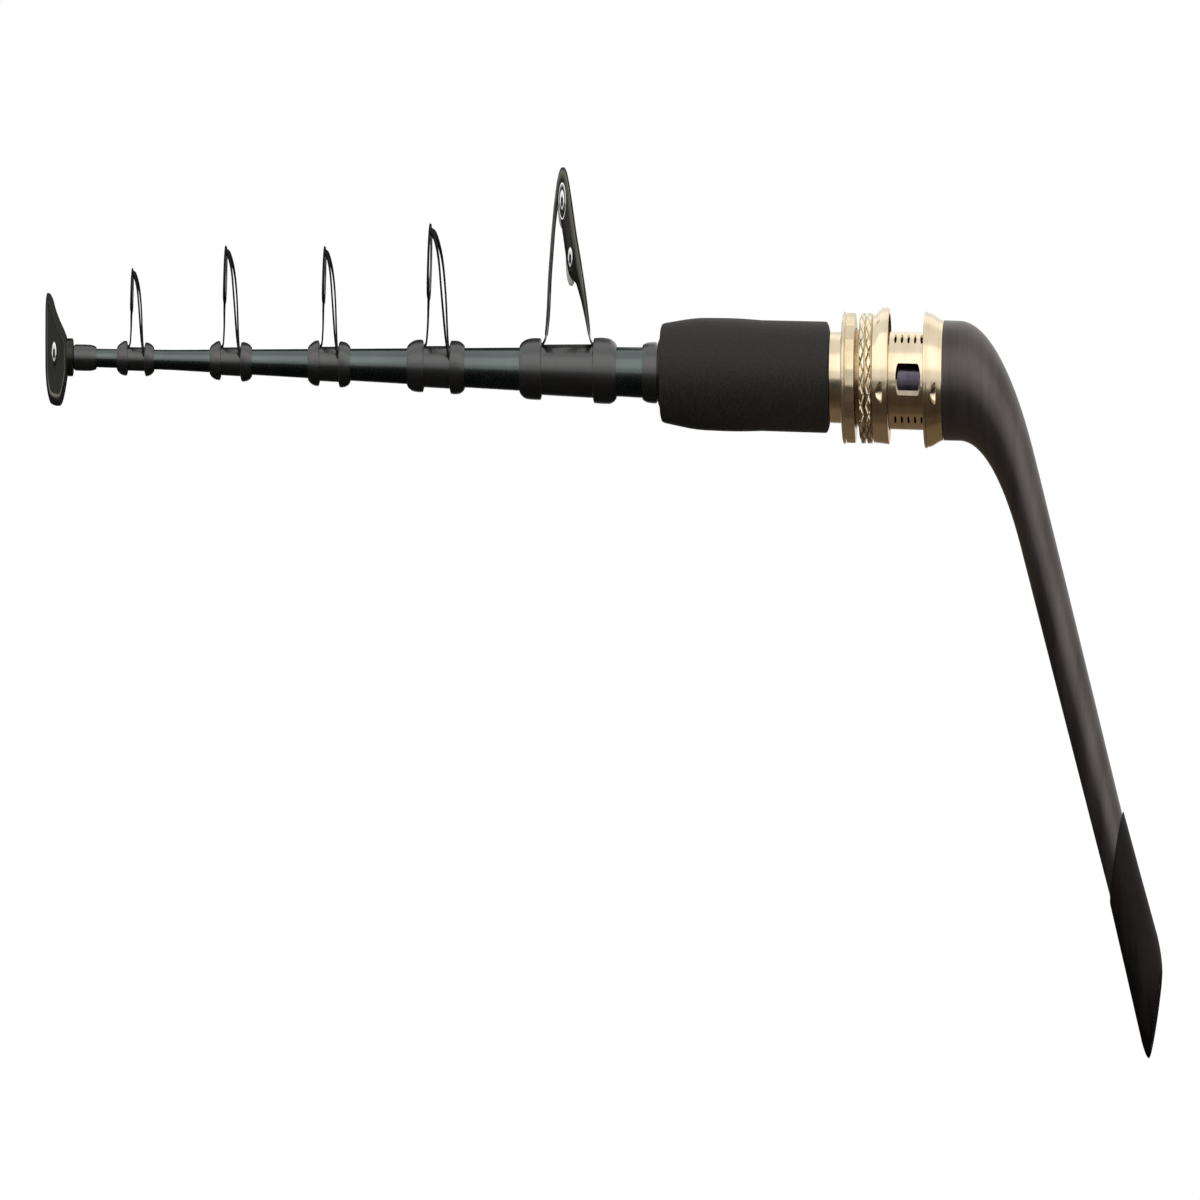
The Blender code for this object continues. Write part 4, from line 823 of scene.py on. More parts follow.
# the frame is built round x = 0 and then moved ahead
def makeGuideFrame(number, size):
    ahead, height, loop, wire = size["ahead"], size["height"], size["loop"], size["wire"]
    thick, wide = guideFit["footThick"], guideFit["footHalf"]
    half = thick / 2
    up = Vector((math.sin(guideFit["lean"]), 0.0, math.cos(guideFit["lean"])))
    side = Vector((0.0, 1.0, 0.0))
    out = up.cross(side)
    centre = Vector((0.0, 0.0, height))
    rings = []
    for turn in angles(64):
        spoke = up * math.cos(turn) + side * math.sin(turn)
        # the band is broadest at the foot of the ring, where it runs into the stem
        broad = 1.8 + 0.9 * max(0.0, -math.cos(turn)) ** 2
        rings.append([centre + spoke * (loop + wire * u) + out * (broad * wire * v)
                      for u, v in (roundish(a, 0.75) for a in angles(18, 0.5))])
    shape = skin(rings, closed=True)

    base = ahead + size["front"]
    low = centre - up * loop
    foot = footPlace(base + 0.0030, 0.0, thick)
    tip = footPlace(base + size["frontWrap"] - 0.0050, 0.0, thick)
    swept([
        (low.x + 0.0001, 0.0, low.z + 0.0004, 1.2 * wire, 2.2 * wire),
        (low.x - 0.0003, 0.0, low.z - 0.0022, 1.1 * wire, 2.0 * wire),
        (-0.45 * size["front"], 0.0, 0.55 * foot[2] + 0.45 * low.z, 1.3 * wire, 1.6 * wire),
        (-0.80 * size["front"], 0.0, foot[2] + 0.0014, 1.5 * wire, 1.3 * wire),
        (-size["front"] - 0.0012, 0.0, foot[2] + 0.0002, wide, 1.2 * half),
        (foot[0] + ahead - 0.0010, 0.0, foot[2], wide, half),
        (tip[0] + ahead, 0.0, tip[2], 0.6 * wide, half),
    ], side, corner=0.8, shape=shape)

    rear = size["rear"]
    rearAhead = ahead - rear
    kneeZ = height - 0.88 * loop
    spread, brace, ankle = guideFit["spread"] * loop, guideFit["brace"] * wire, guideFit["ankle"]
    for hand in (1, -1):
        angle = hand * guideFit["footAngle"]
        start = centre + (up * math.cos(0.5) - side * (hand * math.sin(0.5))) * loop
        land = Vector(footPlace(rearAhead, angle, thick))
        flat = footPlace(rearAhead - 0.0030, angle, thick)
        stop = footPlace(rearAhead - size["rearWrap"] + 0.0050, angle, thick)
        swept([
            (start.x, start.y, start.z, wire, wire),
            (0.32 * rear, -hand * 0.52 * spread, height + 0.68 * loop, brace, brace),
            (0.58 * rear, -hand * 0.88 * spread, height + 0.08 * loop, brace, brace),
            (0.75 * rear, -hand * spread, kneeZ, brace, brace),
            (0.91 * rear, -hand * ((1 - ankle) * spread + ankle * abs(land.y)),
             (1 - ankle) * kneeZ + ankle * land.z + 0.0004, brace, brace),
            (rear + 0.0012, land.y * 1.04, land.z + 0.0003, wide, half),
            (flat[0] + ahead + 0.0010, flat[1], flat[2], wide, half),
            (stop[0] + ahead, stop[1], stop[2], 0.6 * wide, half),
        ], (0.0, -math.cos(angle), -math.sin(angle)), corner=0.9, shape=shape)
    shape.transform(Matrix.Translation((-ahead, 0.0, 0.0)))
    settle(makePiece(f"guide{number}Frame", shape, "wire"),
           "rod", "black_coated", f"guide_{number}_frame")


def makeGuideRing(number, size):
    outer = size["loop"] - size["wire"] - 0.00005
    inner = size["loop"] - size["wire"] - line["fitGap"] - guideFit["ringWall"]
    long = guideFit["ringLong"] / 2
    profile = [(long * u, (outer + inner) / 2 + (outer - inner) / 2 * v)
               for u, v in (roundish(a, 0.8) for a in angles(28))]
    ring = turned(profile, sides=72)
    ring.transform(Matrix.Translation((-size["ahead"], 0.0, size["height"]))
                   @ Matrix.Rotation(guideFit["lean"], 4, "Y"))
    settle(makePiece(f"guide{number}Ring", ring, "ceramic"),
           "rod", "ceramic_ring", f"guide_{number}_ring")


for number, size in enumerate(guides, start=1):
    makeGuideFrame(number, size)
    makeGuideRing(number, size)
print("ring guides ready")


# Rollers on their axles, used three times. y is across the rod, with the screw's head on the
# near side.

axle = {"radius": 0.0020, "headRadius": 0.0035, "headHeight": 0.0016, "drive": 0.0014,
        "nutRadius": 0.0033, "nutHeight": 0.0020, "rollerRadius": 0.0075, "rollerWidth": 0.0076,
        "groove": 0.0016, "rollerBore": 0.0037, "plateInner": 0.0042, "plateOuter": 0.0057,
        "plateEdge": 0.0003, "hole": 0.0023, "holeReach": 0.02,
        # start of the nodes' names: start of the pieces' names, ahead, height over the rod's line
        "places": {
            "stripper_upper": ("stripperUpper", stripper["ahead"] + 0.0002, 0.0468),
            "stripper_lower": ("stripperLower", stripper["ahead"] - 0.0119, 0.0310),
            "tip": ("tip", 1.3114, 0.0009),
        }}


def makeScrew(key, name, place):
    head = -axle["plateOuter"] - line["fitGap"]
    tail = axle["plateOuter"] + line["fitGap"] + axle["nutHeight"]
    wide, tall, thin = axle["headRadius"], axle["headHeight"], axle["radius"]
    rows = [(head - tall * (1 - 0.62 * (1 - math.cos(a))), wide * (0.62 + 0.38 * math.sin(a)))
            for a in quarter(7)]
    rows += [(head - 0.0001, wide), (head, wide - 0.0001), (head, thin), (tail - 0.0003, thin),
             (tail, thin - 0.0003)]
    screw = makePiece(f"{name}Screw", turned(rows, sides=48, solid=True), "chrome", place)
    # the recess tapers inwards, so it shows dark above and bright below, and its walls take painted
    # shade
    drive = turned([(head - tall - 0.001, 1.5 * axle["drive"]), (head - tall, 1.25 * axle["drive"]),
                    (head - 0.25 * tall, 0.3 * axle["drive"])], sides=6, solid=True)
    carve(screw, [makePiece("drive", drive, "hollow", place)])
    settle(screw, "rod", "chromed_steel", f"{key}_axle_screw")


def makeAxleNut(key, name, place):
    under = axle["plateOuter"] + line["fitGap"]
    top = under + axle["nutHeight"]
    bore, wide = axle["radius"] + 0.0003, axle["nutRadius"]

    def flats(x, radius, angle):
        return radius if radius < axle["radius"] + 0.0006 else min(radius, facet(angle, 6, wide))

    rows = [(under, bore), (under, wide), (top - 0.0004, wide), (top, wide - 0.0005), (top, bore)]
    settle(makePiece(f"{name}Nut", turned(rows, sides=72, relief=flats), "chrome", place,
                     sharp=20), "rod", "chromed_steel", f"{key}_axle_nut")


def makeRoller(key, name, place):
    wide, bore, rim = axle["rollerWidth"] / 2, axle["rollerBore"], axle["rollerRadius"]
    floor = rim - axle["groove"]
    edge = [(wide, bore), (wide, rim - 0.0008), (0.97 * wide, rim - 0.0003), (0.90 * wide, rim)]
    groove = [(0.80 * wide * t, floor + (rim - floor) * abs(t) ** 3.2)
              for t in (-1 + 2 * k / 16 for k in range(17))]
    rows = [(-x, radius) for x, radius in edge] + groove + edge[::-1]
    settle(makePiece(f"{name}Roller", turned(rows, sides=96), "steel", place),
           f"{key}_roller", "roller_steel", f"{key}_roller")


def axlePlace(key, side=0.0):
    ahead, height = axle["places"][key][1:]
    return onRod(ahead, side, height) @ acrossRod


def axleHole(key):
    reach = axle["holeReach"]
    return makePiece("hole", drill(axle["hole"], -reach, reach, 40), "coated", axlePlace(key))


for key, spot in axle["places"].items():
    for make in (makeScrew, makeAxleNut, makeRoller):
        make(key, spot[0], axlePlace(key))
print("axles ready")


# Roller frames: two cheeks, joined by straps or by the tip's tube

# a frame's near and far plates with lightly rounded edges
def makeCheeks(name, outline, place):
    near, far = axle["plateInner"], axle["plateOuter"]
    cheeks = []
    for title, low, high in ((name, -far, -near), ("farCheek", near, far)):
        cheek = makePiece(title, slab(outline, low, high), "coated", place)
        edge = cheek.modifiers.new("edge", "BEVEL")
        edge.width, edge.segments, edge.limit_method = axle["plateEdge"], 3, "ANGLE"
        edge.angle_limit = math.radians(50)
        cheeks.append(applied(cheek))
    return cheeks


# a low bead on a plate's face, along (x, y, z, half width, height above y) rows
def makeBead(name, rows, sides, place, closed=False):
    spots = [Vector(row[:3]) for row in rows]
    across = Vector((0.0, 1.0, 0.0))
    last = len(rows) - 1
    rings = []
    for i, row in enumerate(rows):
        back, on = (i - 1, (i + 1) % len(rows)) if closed else (max(i - 1, 0), min(i + 1, last))
        outwards = (spots[on] - spots[back]).normalized().cross(across).normalized()
        rings.append([spots[i] + outwards * (row[3] * math.cos(a)) + across * (row[4] * math.sin(a))
                      for a in angles(sides)])
    # the bead's lighter finish is a painted highlight
    settle(makePiece(name, skin(rings, closed), "edgeHighlight", place), "rod", "black_coated")


# (x, z) round a cheek, from the guide's middle on the rod's line. The tip of the rod is at -x.
stripperOutline = (
    (-0.0262, 0.0096), (-0.0238, 0.0140), (-0.0211, 0.0260), (-0.0170, 0.0368), (-0.0132, 0.0450),
    (-0.0084, 0.0524), (-0.0042, 0.0557), (0.0000, 0.0567), (0.0047, 0.0552), (0.0105, 0.0490),
    (0.0169, 0.0397), (0.0295, 0.0260), (0.0364, 0.0153), (0.0397, 0.0098), (0.0384, 0.0096),
    (0.0333, 0.0146), (0.0274, 0.0196), (0.0200, 0.0244), (0.0150, 0.0252), (0.0105, 0.0262),
    (0.0070, 0.0290), (0.0000, 0.0385), (-0.0058, 0.0455), (-0.0084, 0.0460), (-0.0126, 0.0392),
    (-0.0177, 0.0260), (-0.0202, 0.0150), (-0.0236, 0.0092),
)
# (x, z, half width) of the rib on each cheek, from the front foot over the peak to the rear foot
stripperRib = (
    (-0.0243, 0.0110, 0.0009), (-0.0218, 0.0180, 0.0010), (-0.0190, 0.0275, 0.0011),
    (-0.0148, 0.0375, 0.0013), (-0.0105, 0.0462, 0.0015), (-0.0055, 0.0522, 0.0016),
    (0.0000, 0.0541, 0.0018), (0.0046, 0.0520, 0.0022), (0.0100, 0.0455, 0.0025),
    (0.0165, 0.0368, 0.0026), (0.0240, 0.0287, 0.0024), (0.0310, 0.0210, 0.0018),
    (0.0358, 0.0150, 0.0011), (0.0385, 0.0108, 0.0007),
)


def makeStrap(side, way, place):
    ahead, half = stripper["ahead"], stripper["strap"] / 2
    wide = axle["plateOuter"] - 0.0003
    rows = [(x, 0.0, z, share * wide, half)
            for (x, z), share in zip(stripper[f"{side}Strap"], (1.0, 1.0, 0.85))]
    for reach, lift, share in ((0.0015, 0.0003, 0.50), (0.0050, 0.0, 0.45),
                               (stripper[f"{side}Wrap"] - 0.0050, 0.0, 0.30)):
        x, _, z = footPlace(ahead + way * stripper[f"{side}Base"] + way * reach, 0.0, 2 * half)
        rows.append((x + ahead, 0.0, z + lift, share * wide, half))
    strap = swept(rows, (0.0, 1.0, 0.0), sides=24, corner=0.45)
    return makePiece("strap", strap, "coated", place)


def makeStripper():
    place = onRod(stripper["ahead"])
    outline = softened(stripperOutline, stripper["corner"], 4)
    frame, far = makeCheeks("stripperFrame", outline, place)
    straps = [makeStrap(side, way, place) for side, way in (("front", 1), ("rear", -1))]
    reach, half, height = stripper["boss"]
    ring = [(height * math.cos(a), reach + half * math.sin(a)) for a in angles(12)]
    for side, tag in ((-1, "Near"), (1, "Far")):
        y = side * (axle["plateOuter"] - stripper["ribSunk"])
        rows = [(x, y, z, wide, stripper["ribHeight"]) for x, z, wide in stripperRib]
        makeBead(f"stripperRib{tag}", smoothPath(rows, 6), 16, place)
    for side, tag in ((-1, "Near"), (1, "Far")):
        settle(makePiece(f"stripperBoss{tag}", turned(ring, sides=48), "chrome",
                         axlePlace("stripper_upper", side * axle["plateOuter"])),
               "rod", "chromed_steel")
    carve(frame, [far] + straps, "UNION")
    carve(frame, [axleHole("stripper_upper"), axleHole("stripper_lower")], sharp=28)
    settle(frame, "rod", "black_coated", "stripper_frame")
    print("stripper ready")


makeStripper()


# (x, z) round a cheek of the tip top, from its roller's axis
tipOutline = (
    (-0.0103, 0.0170), (-0.0122, 0.0160), (-0.0133, 0.0130), (-0.0134, 0.0040), (-0.0132, -0.0050),
    (-0.0115, -0.0092), (-0.0087, -0.0122), (-0.0058, -0.0138), (-0.0010, -0.0143),
    (0.0030, -0.0145), (0.0065, -0.0145), (0.0092, -0.0139), (0.0120, -0.0123), (0.0148, -0.0096),
    (0.0170, -0.0068), (0.0178, -0.0056), (0.0178, 0.0042), (0.0120, 0.0069), (0.0060, 0.0093),
    (0.0000, 0.0122), (-0.0040, 0.0153), (-0.0080, 0.0166),
)
tipTop = {"corner": 0.0030, "tube": 0.0053, "tubeEnd": 0.0272, "tubeStart": 0.0185,
          "neck": 0.0125, "bore": 0.0031, "boreReach": 0.05, "rim": 0.0023, "recess": 0.0003,
          "recessCorner": 0.0025, "bead": 0.00025, "beadHalf": 0.0010}


# the outline moved inwards by an even gap, for the plate's recessed face
def shrunk(outline, gap):
    corners = [Vector(point) for point in outline]
    area = sum(a.cross(b) for a, b in zip(corners, corners[1:] + corners[:1]))
    way = math.copysign(1.0, area)
    out = []
    for i, here in enumerate(corners):
        before = (here - corners[i - 1]).normalized()
        after = (corners[(i + 1) % len(corners)] - here).normalized()
        inward = Vector((-before.y - after.y, before.x + after.x)).normalized() * way
        depth = gap / max(0.5, inward.dot(Vector((-before.y, before.x)) * way))
        out.append(tuple(here + inward * depth))
    return out


def makeTip():
    tipAhead, height = axle["places"]["tip"][1:]
    place = onRod(tipAhead, height=height)
    inner = softened(shrunk(tipOutline, tipTop["rim"]), tipTop["recessCorner"], 4)
    outer, tube, end = axle["plateOuter"], tipTop["tube"], tipTop["tubeEnd"]
    frame, far = makeCheeks("tipFrame", softened(tipOutline, tipTop["corner"], 4), place)
    wide = outer - 0.0004
    # (x, half width, half height) from between the plates to the tube's end
    neckRows = ((tipTop["neck"], wide, 0.0038), (0.0150, wide - 0.0001, 0.0044),
                (0.0168, 0.0055, 0.0050), (tipTop["tubeStart"], tube, tube),
                (end - 0.0014, tube, tube), (end - 0.0004, tube - 0.0004, tube - 0.0004),
                (end, tube - 0.0012, tube - 0.0012))
    neck = skin([[Vector((x, -across * math.sin(a), -height + tall * math.cos(a)))
                  for a in angles(48)] for x, across, tall in neckRows])
    carve(frame, [far, makePiece("neck", neck, "coated", place)], "UNION")
    bore = drill(tipTop["bore"], tipAhead - blank["tip"] - line["fitGap"], tipTop["boreReach"], 40)
    cutters = [makePiece("bore", bore, "coated", onRod(tipAhead)), axleHole("tip")]
    for side in (-1, 1):
        low, high = sorted((side * (outer - tipTop["recess"]), side * (outer + 0.002)))
        cutters.append(makePiece("recess", slab(inner, low, high), "coated", place))
    carve(frame, cutters, sharp=28)
    # a thin raised bead follows the recess on each cheek
    for side, tag in ((-1, "Near"), (1, "Far")):
        rows = [(x, side * (outer - tipTop["bead"]), z, tipTop["beadHalf"], tipTop["bead"])
                for x, z in inner]
        makeBead(f"tipBead{tag}", rows, 12, place, closed=True)
    settle(frame, "rod", "black_coated", "tip_frame")
    print("tip ready")


makeTip()


# Reel seat. Everything on it is turned from aluminium and anodised.

seat = {
    "rear": 0.003, "front": 0.1679, "radius": 0.0140, "frontRadius": 0.0127, "bore": 0.0109,
    "thread": 0.1060, "threadEnd": 0.1503, "crest": 0.0137, "root": 0.0131, "pitch": 0.0015,
    "rootSunk": 0.0002,
    # half the diagonal of the thread's section is its height times these two
    "ridgeReach": 2.6, "ridgeScale": 0.46,
    "bedRear": 0.010, "bedFront": 0.100, "bedHeight": 0.0131,
    "slotCentre": 0.0508, "slotLength": 0.0335, "slotWidth": 0.0062,
    # cutters from inside out: distance from the line, wider along and wider across than the slot
    "slotFlare": ((0.0123, 0.0, 0.0), (0.0146, 0.0020, 0.0032)),
    "slotCut": ((0.0080, 0.0, 0.0), (0.0146, 0.0, 0.0)),
    "ventRadius": 0.0017, "ventPitch": 0.0097, "ventCount": 5, "ventAngle": math.radians(36),
    # the vents' chamfer is this much wider at the cutter's end, and ends this far from the line
    "ventRim": 0.0030, "ventRimEnd": 0.0134, "ventReach": 0.018,
    "sleeveRear": 0.020,  # the dark tube inside begins here
}


# a cutter through one side of the barrel, which widens outwards from level to level
def cutFlared(levels, side, outline):
    return skin([[Vector((x + math.copysign(along, sideways) * abs(sideways), side * y,
                          z + math.copysign(across, z) * math.sqrt(max(0.0, 1 - sideways ** 2))))
                  for x, z, sideways in outline] for y, along, across in levels])


# the upper half of a cut faces down, so it gets painted shade, the dark finish of a hollow
def darkAbove(cutter):
    cutter.data.materials.append(finishes["hollow"])
    for face in cutter.data.polygons:
        if face.center.z > line["height"]:
            face.material_index = 1
    return cutter


def makeSlotCutters():
    wide, half = seat["slotWidth"] / 2, (seat["slotLength"] - seat["slotWidth"]) / 2
    outline = [(-seat["slotCentre"] + hand * (half + wide * math.sin(t)), hand * wide * math.cos(t),
                hand * math.sin(t))
               for hand in (1, -1) for t in (math.pi * k / 16 for k in range(17))]
    cutters = []
    for side in (-1, 1):
        # the slot's walls take painted shade, and so does its lip's upper half
        lip = makePiece("lip", cutFlared(seat["slotFlare"], side, outline), "lip")
        slot = makePiece("slot", cutFlared(seat["slotCut"], side, outline), "hollow")
        cutters += [darkAbove(lip), slot]
    return cutters


def makeVentCutters():
    wide, reach = seat["ventRadius"], seat["ventReach"]
    outwards = Matrix.Rotation(math.pi / 2, 4, "Y")
    cutters = []
    for lean in (seat["ventAngle"], -seat["ventAngle"]):
        for i in range(seat["ventCount"]):
            ahead = seat["slotCentre"] - (i - (seat["ventCount"] - 1) / 2) * seat["ventPitch"]
            place = onRod(ahead) @ Matrix.Rotation(lean, 4, "X") @ outwards
            chamfer = turned([(-reach, wide + seat["ventRim"]),
                              (-seat["ventRimEnd"], wide + 0.0001)], sides=24, solid=True)
            # each vent's bore takes painted shade, its chamfer the plain gold
            cutters += [makePiece("chamfer", chamfer, "gold", place),
                        makePiece("vent", drill(wide, -reach, reach, 24), "hollow", place)]
    return cutters


def makeBarrel():
    bore, radius, thin, root = (seat[key] for key in ("bore", "radius", "frontRadius", "root"))
    rear, front, thread, threadEnd = (-seat[key] for key in (
        "rear", "front", "thread", "threadEnd"))
    profile = softened([
        (rear, bore), (rear, radius), (thread + 0.0012, radius), (thread + 0.0004, root),
        (threadEnd - 0.0002, root), (threadEnd - 0.0010, thin), (front + 0.0006, thin),
        (front, thin - 0.0006), (front, bore),
    ], 0.0003, 2)
    barrel = makePiece("seatBarrel", turned(profile, sides=144), "gold")
    # a reel's foot lies on a flat bed
    bed = box((-(seat["bedRear"] + seat["bedFront"]) / 2, 0.0, seat["bedHeight"] + 0.005),
              (seat["bedFront"] - seat["bedRear"], 0.06, 0.01))
    carve(barrel, [makePiece("bed", bed, "gold")] + makeSlotCutters() + makeVentCutters(),
          sharp=30)
    settle(barrel, "rod", "gold_anodised", "seat_barrel")


# Geometry Nodes wind a ridge of diamond section, half sunk, round the barrel, a turn a pitch
def makeSeatThread():
    tree = bpy.data.node_groups.new("seatThread", "GeometryNodeTree")
    sizes = {"Start": seat["thread"], "Length": seat["threadEnd"] - seat["thread"],
             "Pitch": seat["pitch"], "Root": seat["root"] - seat["rootSunk"],
             "Ridge": seat["crest"] - seat["root"]}
    sockets = {name: tree.interface.new_socket(name, in_out="INPUT", socket_type="NodeSocketFloat")
               for name in sizes}
    tree.interface.new_socket("Mesh", in_out="OUTPUT", socket_type="NodeSocketGeometry")
    size = addNode(tree, "NodeGroupInput").outputs
    turns = addNode(tree, "ShaderNodeMath", operation="DIVIDE",
                    links={0: size["Length"], 1: size["Pitch"]})
    spiral = addNode(tree, "GeometryNodeCurveSpiral", values={"Resolution": 48}, links={
        "Rotations": turns.outputs[0], "Start Radius": size["Root"], "End Radius": size["Root"],
        "Height": size["Length"]})
    upright = addNode(tree, "GeometryNodeSetCurveNormal", mode="Z_UP",
                      links={"Curve": spiral.outputs["Curve"]})
    reach = addNode(tree, "ShaderNodeMath", operation="MULTIPLY", links={0: size["Ridge"]},
                    values={1: seat["ridgeReach"]})
    ridge = addNode(tree, "GeometryNodeCurvePrimitiveCircle", values={"Resolution": 4},
                    links={"Radius": reach.outputs[0]})
    share = seat["ridgeScale"]
    section = addNode(tree, "GeometryNodeTransform", links={"Geometry": ridge.outputs["Curve"]},
                      values={"Scale": (share, share, 1.0)})
    solid = addNode(tree, "GeometryNodeCurveToMesh", values={"Fill Caps": True}, links={
        "Curve": upright.outputs["Curve"], "Profile Curve": section.outputs["Geometry"]})
    back = addNode(tree, "ShaderNodeMath", operation="MULTIPLY", links={0: size["Start"]},
                   values={1: -1.0})
    shift = addNode(tree, "ShaderNodeCombineXYZ", links={"X": back.outputs[0]})
    laid = addNode(tree, "GeometryNodeTransform", values={"Rotation": (0.0, -math.pi / 2, 0.0)},
                   links={"Geometry": solid.outputs["Mesh"], "Translation": shift.outputs[0]})
    real = addNode(tree, "GeometryNodeRealizeInstances",
                   links={"Geometry": laid.outputs["Geometry"]})
    # the thread's gold carries painted shade
    dressed = addNode(tree, "GeometryNodeSetMaterial", values={"Material": finishes["threadShadedGold"]},
                      links={"Geometry": real.outputs["Geometry"]})
    addNode(tree, "NodeGroupOutput", links={"Mesh": dressed.outputs["Geometry"]})

    thread = bpy.data.objects.new("seatThread", bpy.data.meshes.new("seatThread"))
    bpy.context.collection.objects.link(thread)
    step = thread.modifiers.new("thread", "NODES")
    step.node_group = tree
    for name, socket in sockets.items():
        step[socket.identifier] = sizes[name]
    applied(thread, sharp=40).data.transform(rodLine)
    settle(thread, "rod", "gold_anodised")


# A hood has a pocket over the barrel for a reel's foot, and a scoop on each side. Scoops are
# tapered, wide towards the butt.
hood = {"rearEnd": 0.0287, "flange": 0.0055, "flangeRadius": 0.0190, "endRadius": 0.0167,
        "rearPocket": 0.0168, "start": 0.0804, "length": 0.0234, "mouth": 0.0182,
        "nutEnd": 0.0178, "top": 0.0199, "frontPocket": 0.0182, "pocketDepth": 0.0120,
        "pocketWidth": 0.021, "bore": 0.0144, "scoopWidth": 0.0035, "scoopDepth": 0.0021,
        "scoopAngle": math.radians(102)}


def makeScoops(middle, length, radius):
    half, wide = length / 2, hood["scoopWidth"]
    reach = radius + wide - hood["scoopDepth"]
    rows = smoothPath([(-half, 0.10 * wide), (-0.5 * half, 0.60 * wide), (0.2 * half, 0.92 * wide),
                       (0.55 * half, wide), (0.85 * half, 0.75 * wide), (half, 0.25 * wide)], 4)
    return [makePiece("scoop", turned(rows, sides=28, solid=True), "gold",
                      onRod(middle, -reach * math.sin(angle), reach * math.cos(angle)))
            for angle in (hood["scoopAngle"], -hood["scoopAngle"])]


# a round-topped, straight-sided hollow
def makePocket(back, front, radius):
    pocket = makePiece("pocket", drill(radius, back, front, 96), "gold")
    low, high, long = 0.25 * seat["radius"], 0.03, 0.08
    sides = box(((back + front) / 2, 0.0, (low + high) / 2),
                (long, hood["pocketWidth"], high - low))
    return carve(pocket, [makePiece("sides", sides, "gold")], "INTERSECT")


def makeRearHood():
    gap, end, flange = line["fitGap"], hood["rearEnd"], hood["rearEnd"] - hood["flange"]
    bore, low, high = seat["radius"] + gap, hood["endRadius"], hood["flangeRadius"]
    profile = [(-gap, bore), (-gap, low - 0.0008), (-gap - 0.0008, low)]
    profile += [(-0.10 * flange - 0.9 * flange * k / 12,
                 low + (high - 0.0003 - low) * ease(0.1 + 0.9 * k / 12)) for k in range(13)]
    profile += [(-flange - 0.0002, high - 0.0004), (-flange - 0.0006, high - 0.0004),
                (-flange - 0.0010, high), (-end + 0.0009, high), (-end, high - 0.0009),
                (-end, bore)]
    piece = makePiece("rearHood", turned(softened(profile, 0.0004, 2), sides=144), "gold")
    cutters = [makePocket(-end - 0.01, -end + hood["pocketDepth"], hood["rearPocket"])]
    carve(piece, cutters + makeScoops(0.45 * (end - gap), 0.0088, low + 0.0007), sharp=30)
    settle(piece, "rod", "gold_anodised", "rear_hood")


# the front hood's top rises towards its mouth, over the pocket
def makeFrontHood():
    start, length, bore = hood["start"], hood["length"], hood["bore"]
    end, mouth = start + length, hood["mouth"]
    raised, drop = hood["top"] - mouth, mouth - hood["nutEnd"]

    def shell(x, radius, angle):
        if radius <= bore:
            return radius
        turn = abs((angle + math.pi) % (2 * math.pi) - math.pi)
        side = min(max((math.radians(72) - turn) / math.radians(30), 0.0), 1.0)
        along = min(max((end - 0.002 + x) / (0.5 * length), 0.0), 1.0)
        lip = min(max((-start - x) / 0.0022, 0.0), 1.0)
        share = 0.55 + 0.45 * math.sqrt(1 - (1 - lip) ** 2)
        return radius + raised * ease(side) * ease(along) * share

    profile = [(-start, bore), (-start, mouth - 0.0009), (-start - 0.0003, mouth - 0.0003),
               (-start - 0.0009, mouth)]
    profile += [(-start - length * k / 20, mouth - drop * k / 20) for k in range(2, 19)]
    profile += [(-end + 0.0007, hood["nutEnd"]), (-end, hood["nutEnd"] - 0.0007), (-end, bore)]
    piece = makePiece("frontHood", turned(profile, sides=144, relief=shell), "gold")
    cutters = [makePocket(-start - hood["pocketDepth"], -start + 0.01, hood["frontPocket"])]
    carve(piece, cutters + makeScoops(start + 0.56 * length, 0.0120, mouth - 0.56 * drop), sharp=30)
    settle(piece, "front_hood", "gold_anodised", "front_hood")


nuts = {"start": 0.1042, "length": 0.0197, "radius": 0.0181, "groove": 0.0012, "bore": 0.0141,
        # the knurl: starts of the cuts round the nut, their lead, depth and share of the spacing
        "cuts": 19, "cutLead": 0.0080, "cutDepth": 0.0009, "cutShare": 0.17,
        "jamStart": 0.1299, "jamLength": 0.0200, "jamRadius": 0.0183, "collar": 0.0060,
        "collarRadius": 0.0184, "facets": 24}


# two bands that are knurled with crossed V cuts, and a plain groove between them
def makeHoodNut():
    near, far, bore = -nuts["start"], -nuts["start"] - nuts["length"], nuts["bore"]
    middle = (near + far) / 2
    high, low = nuts["radius"], nuts["radius"] - nuts["groove"]

    def band(start, stop):
        return [(start - (start - stop) * k / 22, high) for k in range(23)]

    profile = [(near, bore), (near, low - 0.0003), (near - 0.0003, low), (near - 0.0012, low),
               *band(near - 0.0018, middle + 0.0016), (middle + 0.0010, low),
               (middle - 0.0010, low), *band(middle - 0.0016, far + 0.0024),
               (far + 0.0016, low), (far + 0.0003, low), (far, low - 0.0003), (far, bore)]

    def knurl(x, radius, angle):
        if radius < high - 1e-6:
            return radius
        cut = 0.0
        for hand in (1, -1):
            at = (nuts["cuts"] * angle / (2 * math.pi) + hand * (x - near) / nuts["cutLead"]) % 1.0
            cut = max(cut, 1.0 - min(at, 1.0 - at) / nuts["cutShare"])
        return radius - nuts["cutDepth"] * max(cut, 0.0) ** 0.8

    settle(makePiece("hoodNut", turned(profile, sides=380, relief=knurl), "knurl", sharp=22),
           "hood_nut", "gold_anodised", "hood_nut")


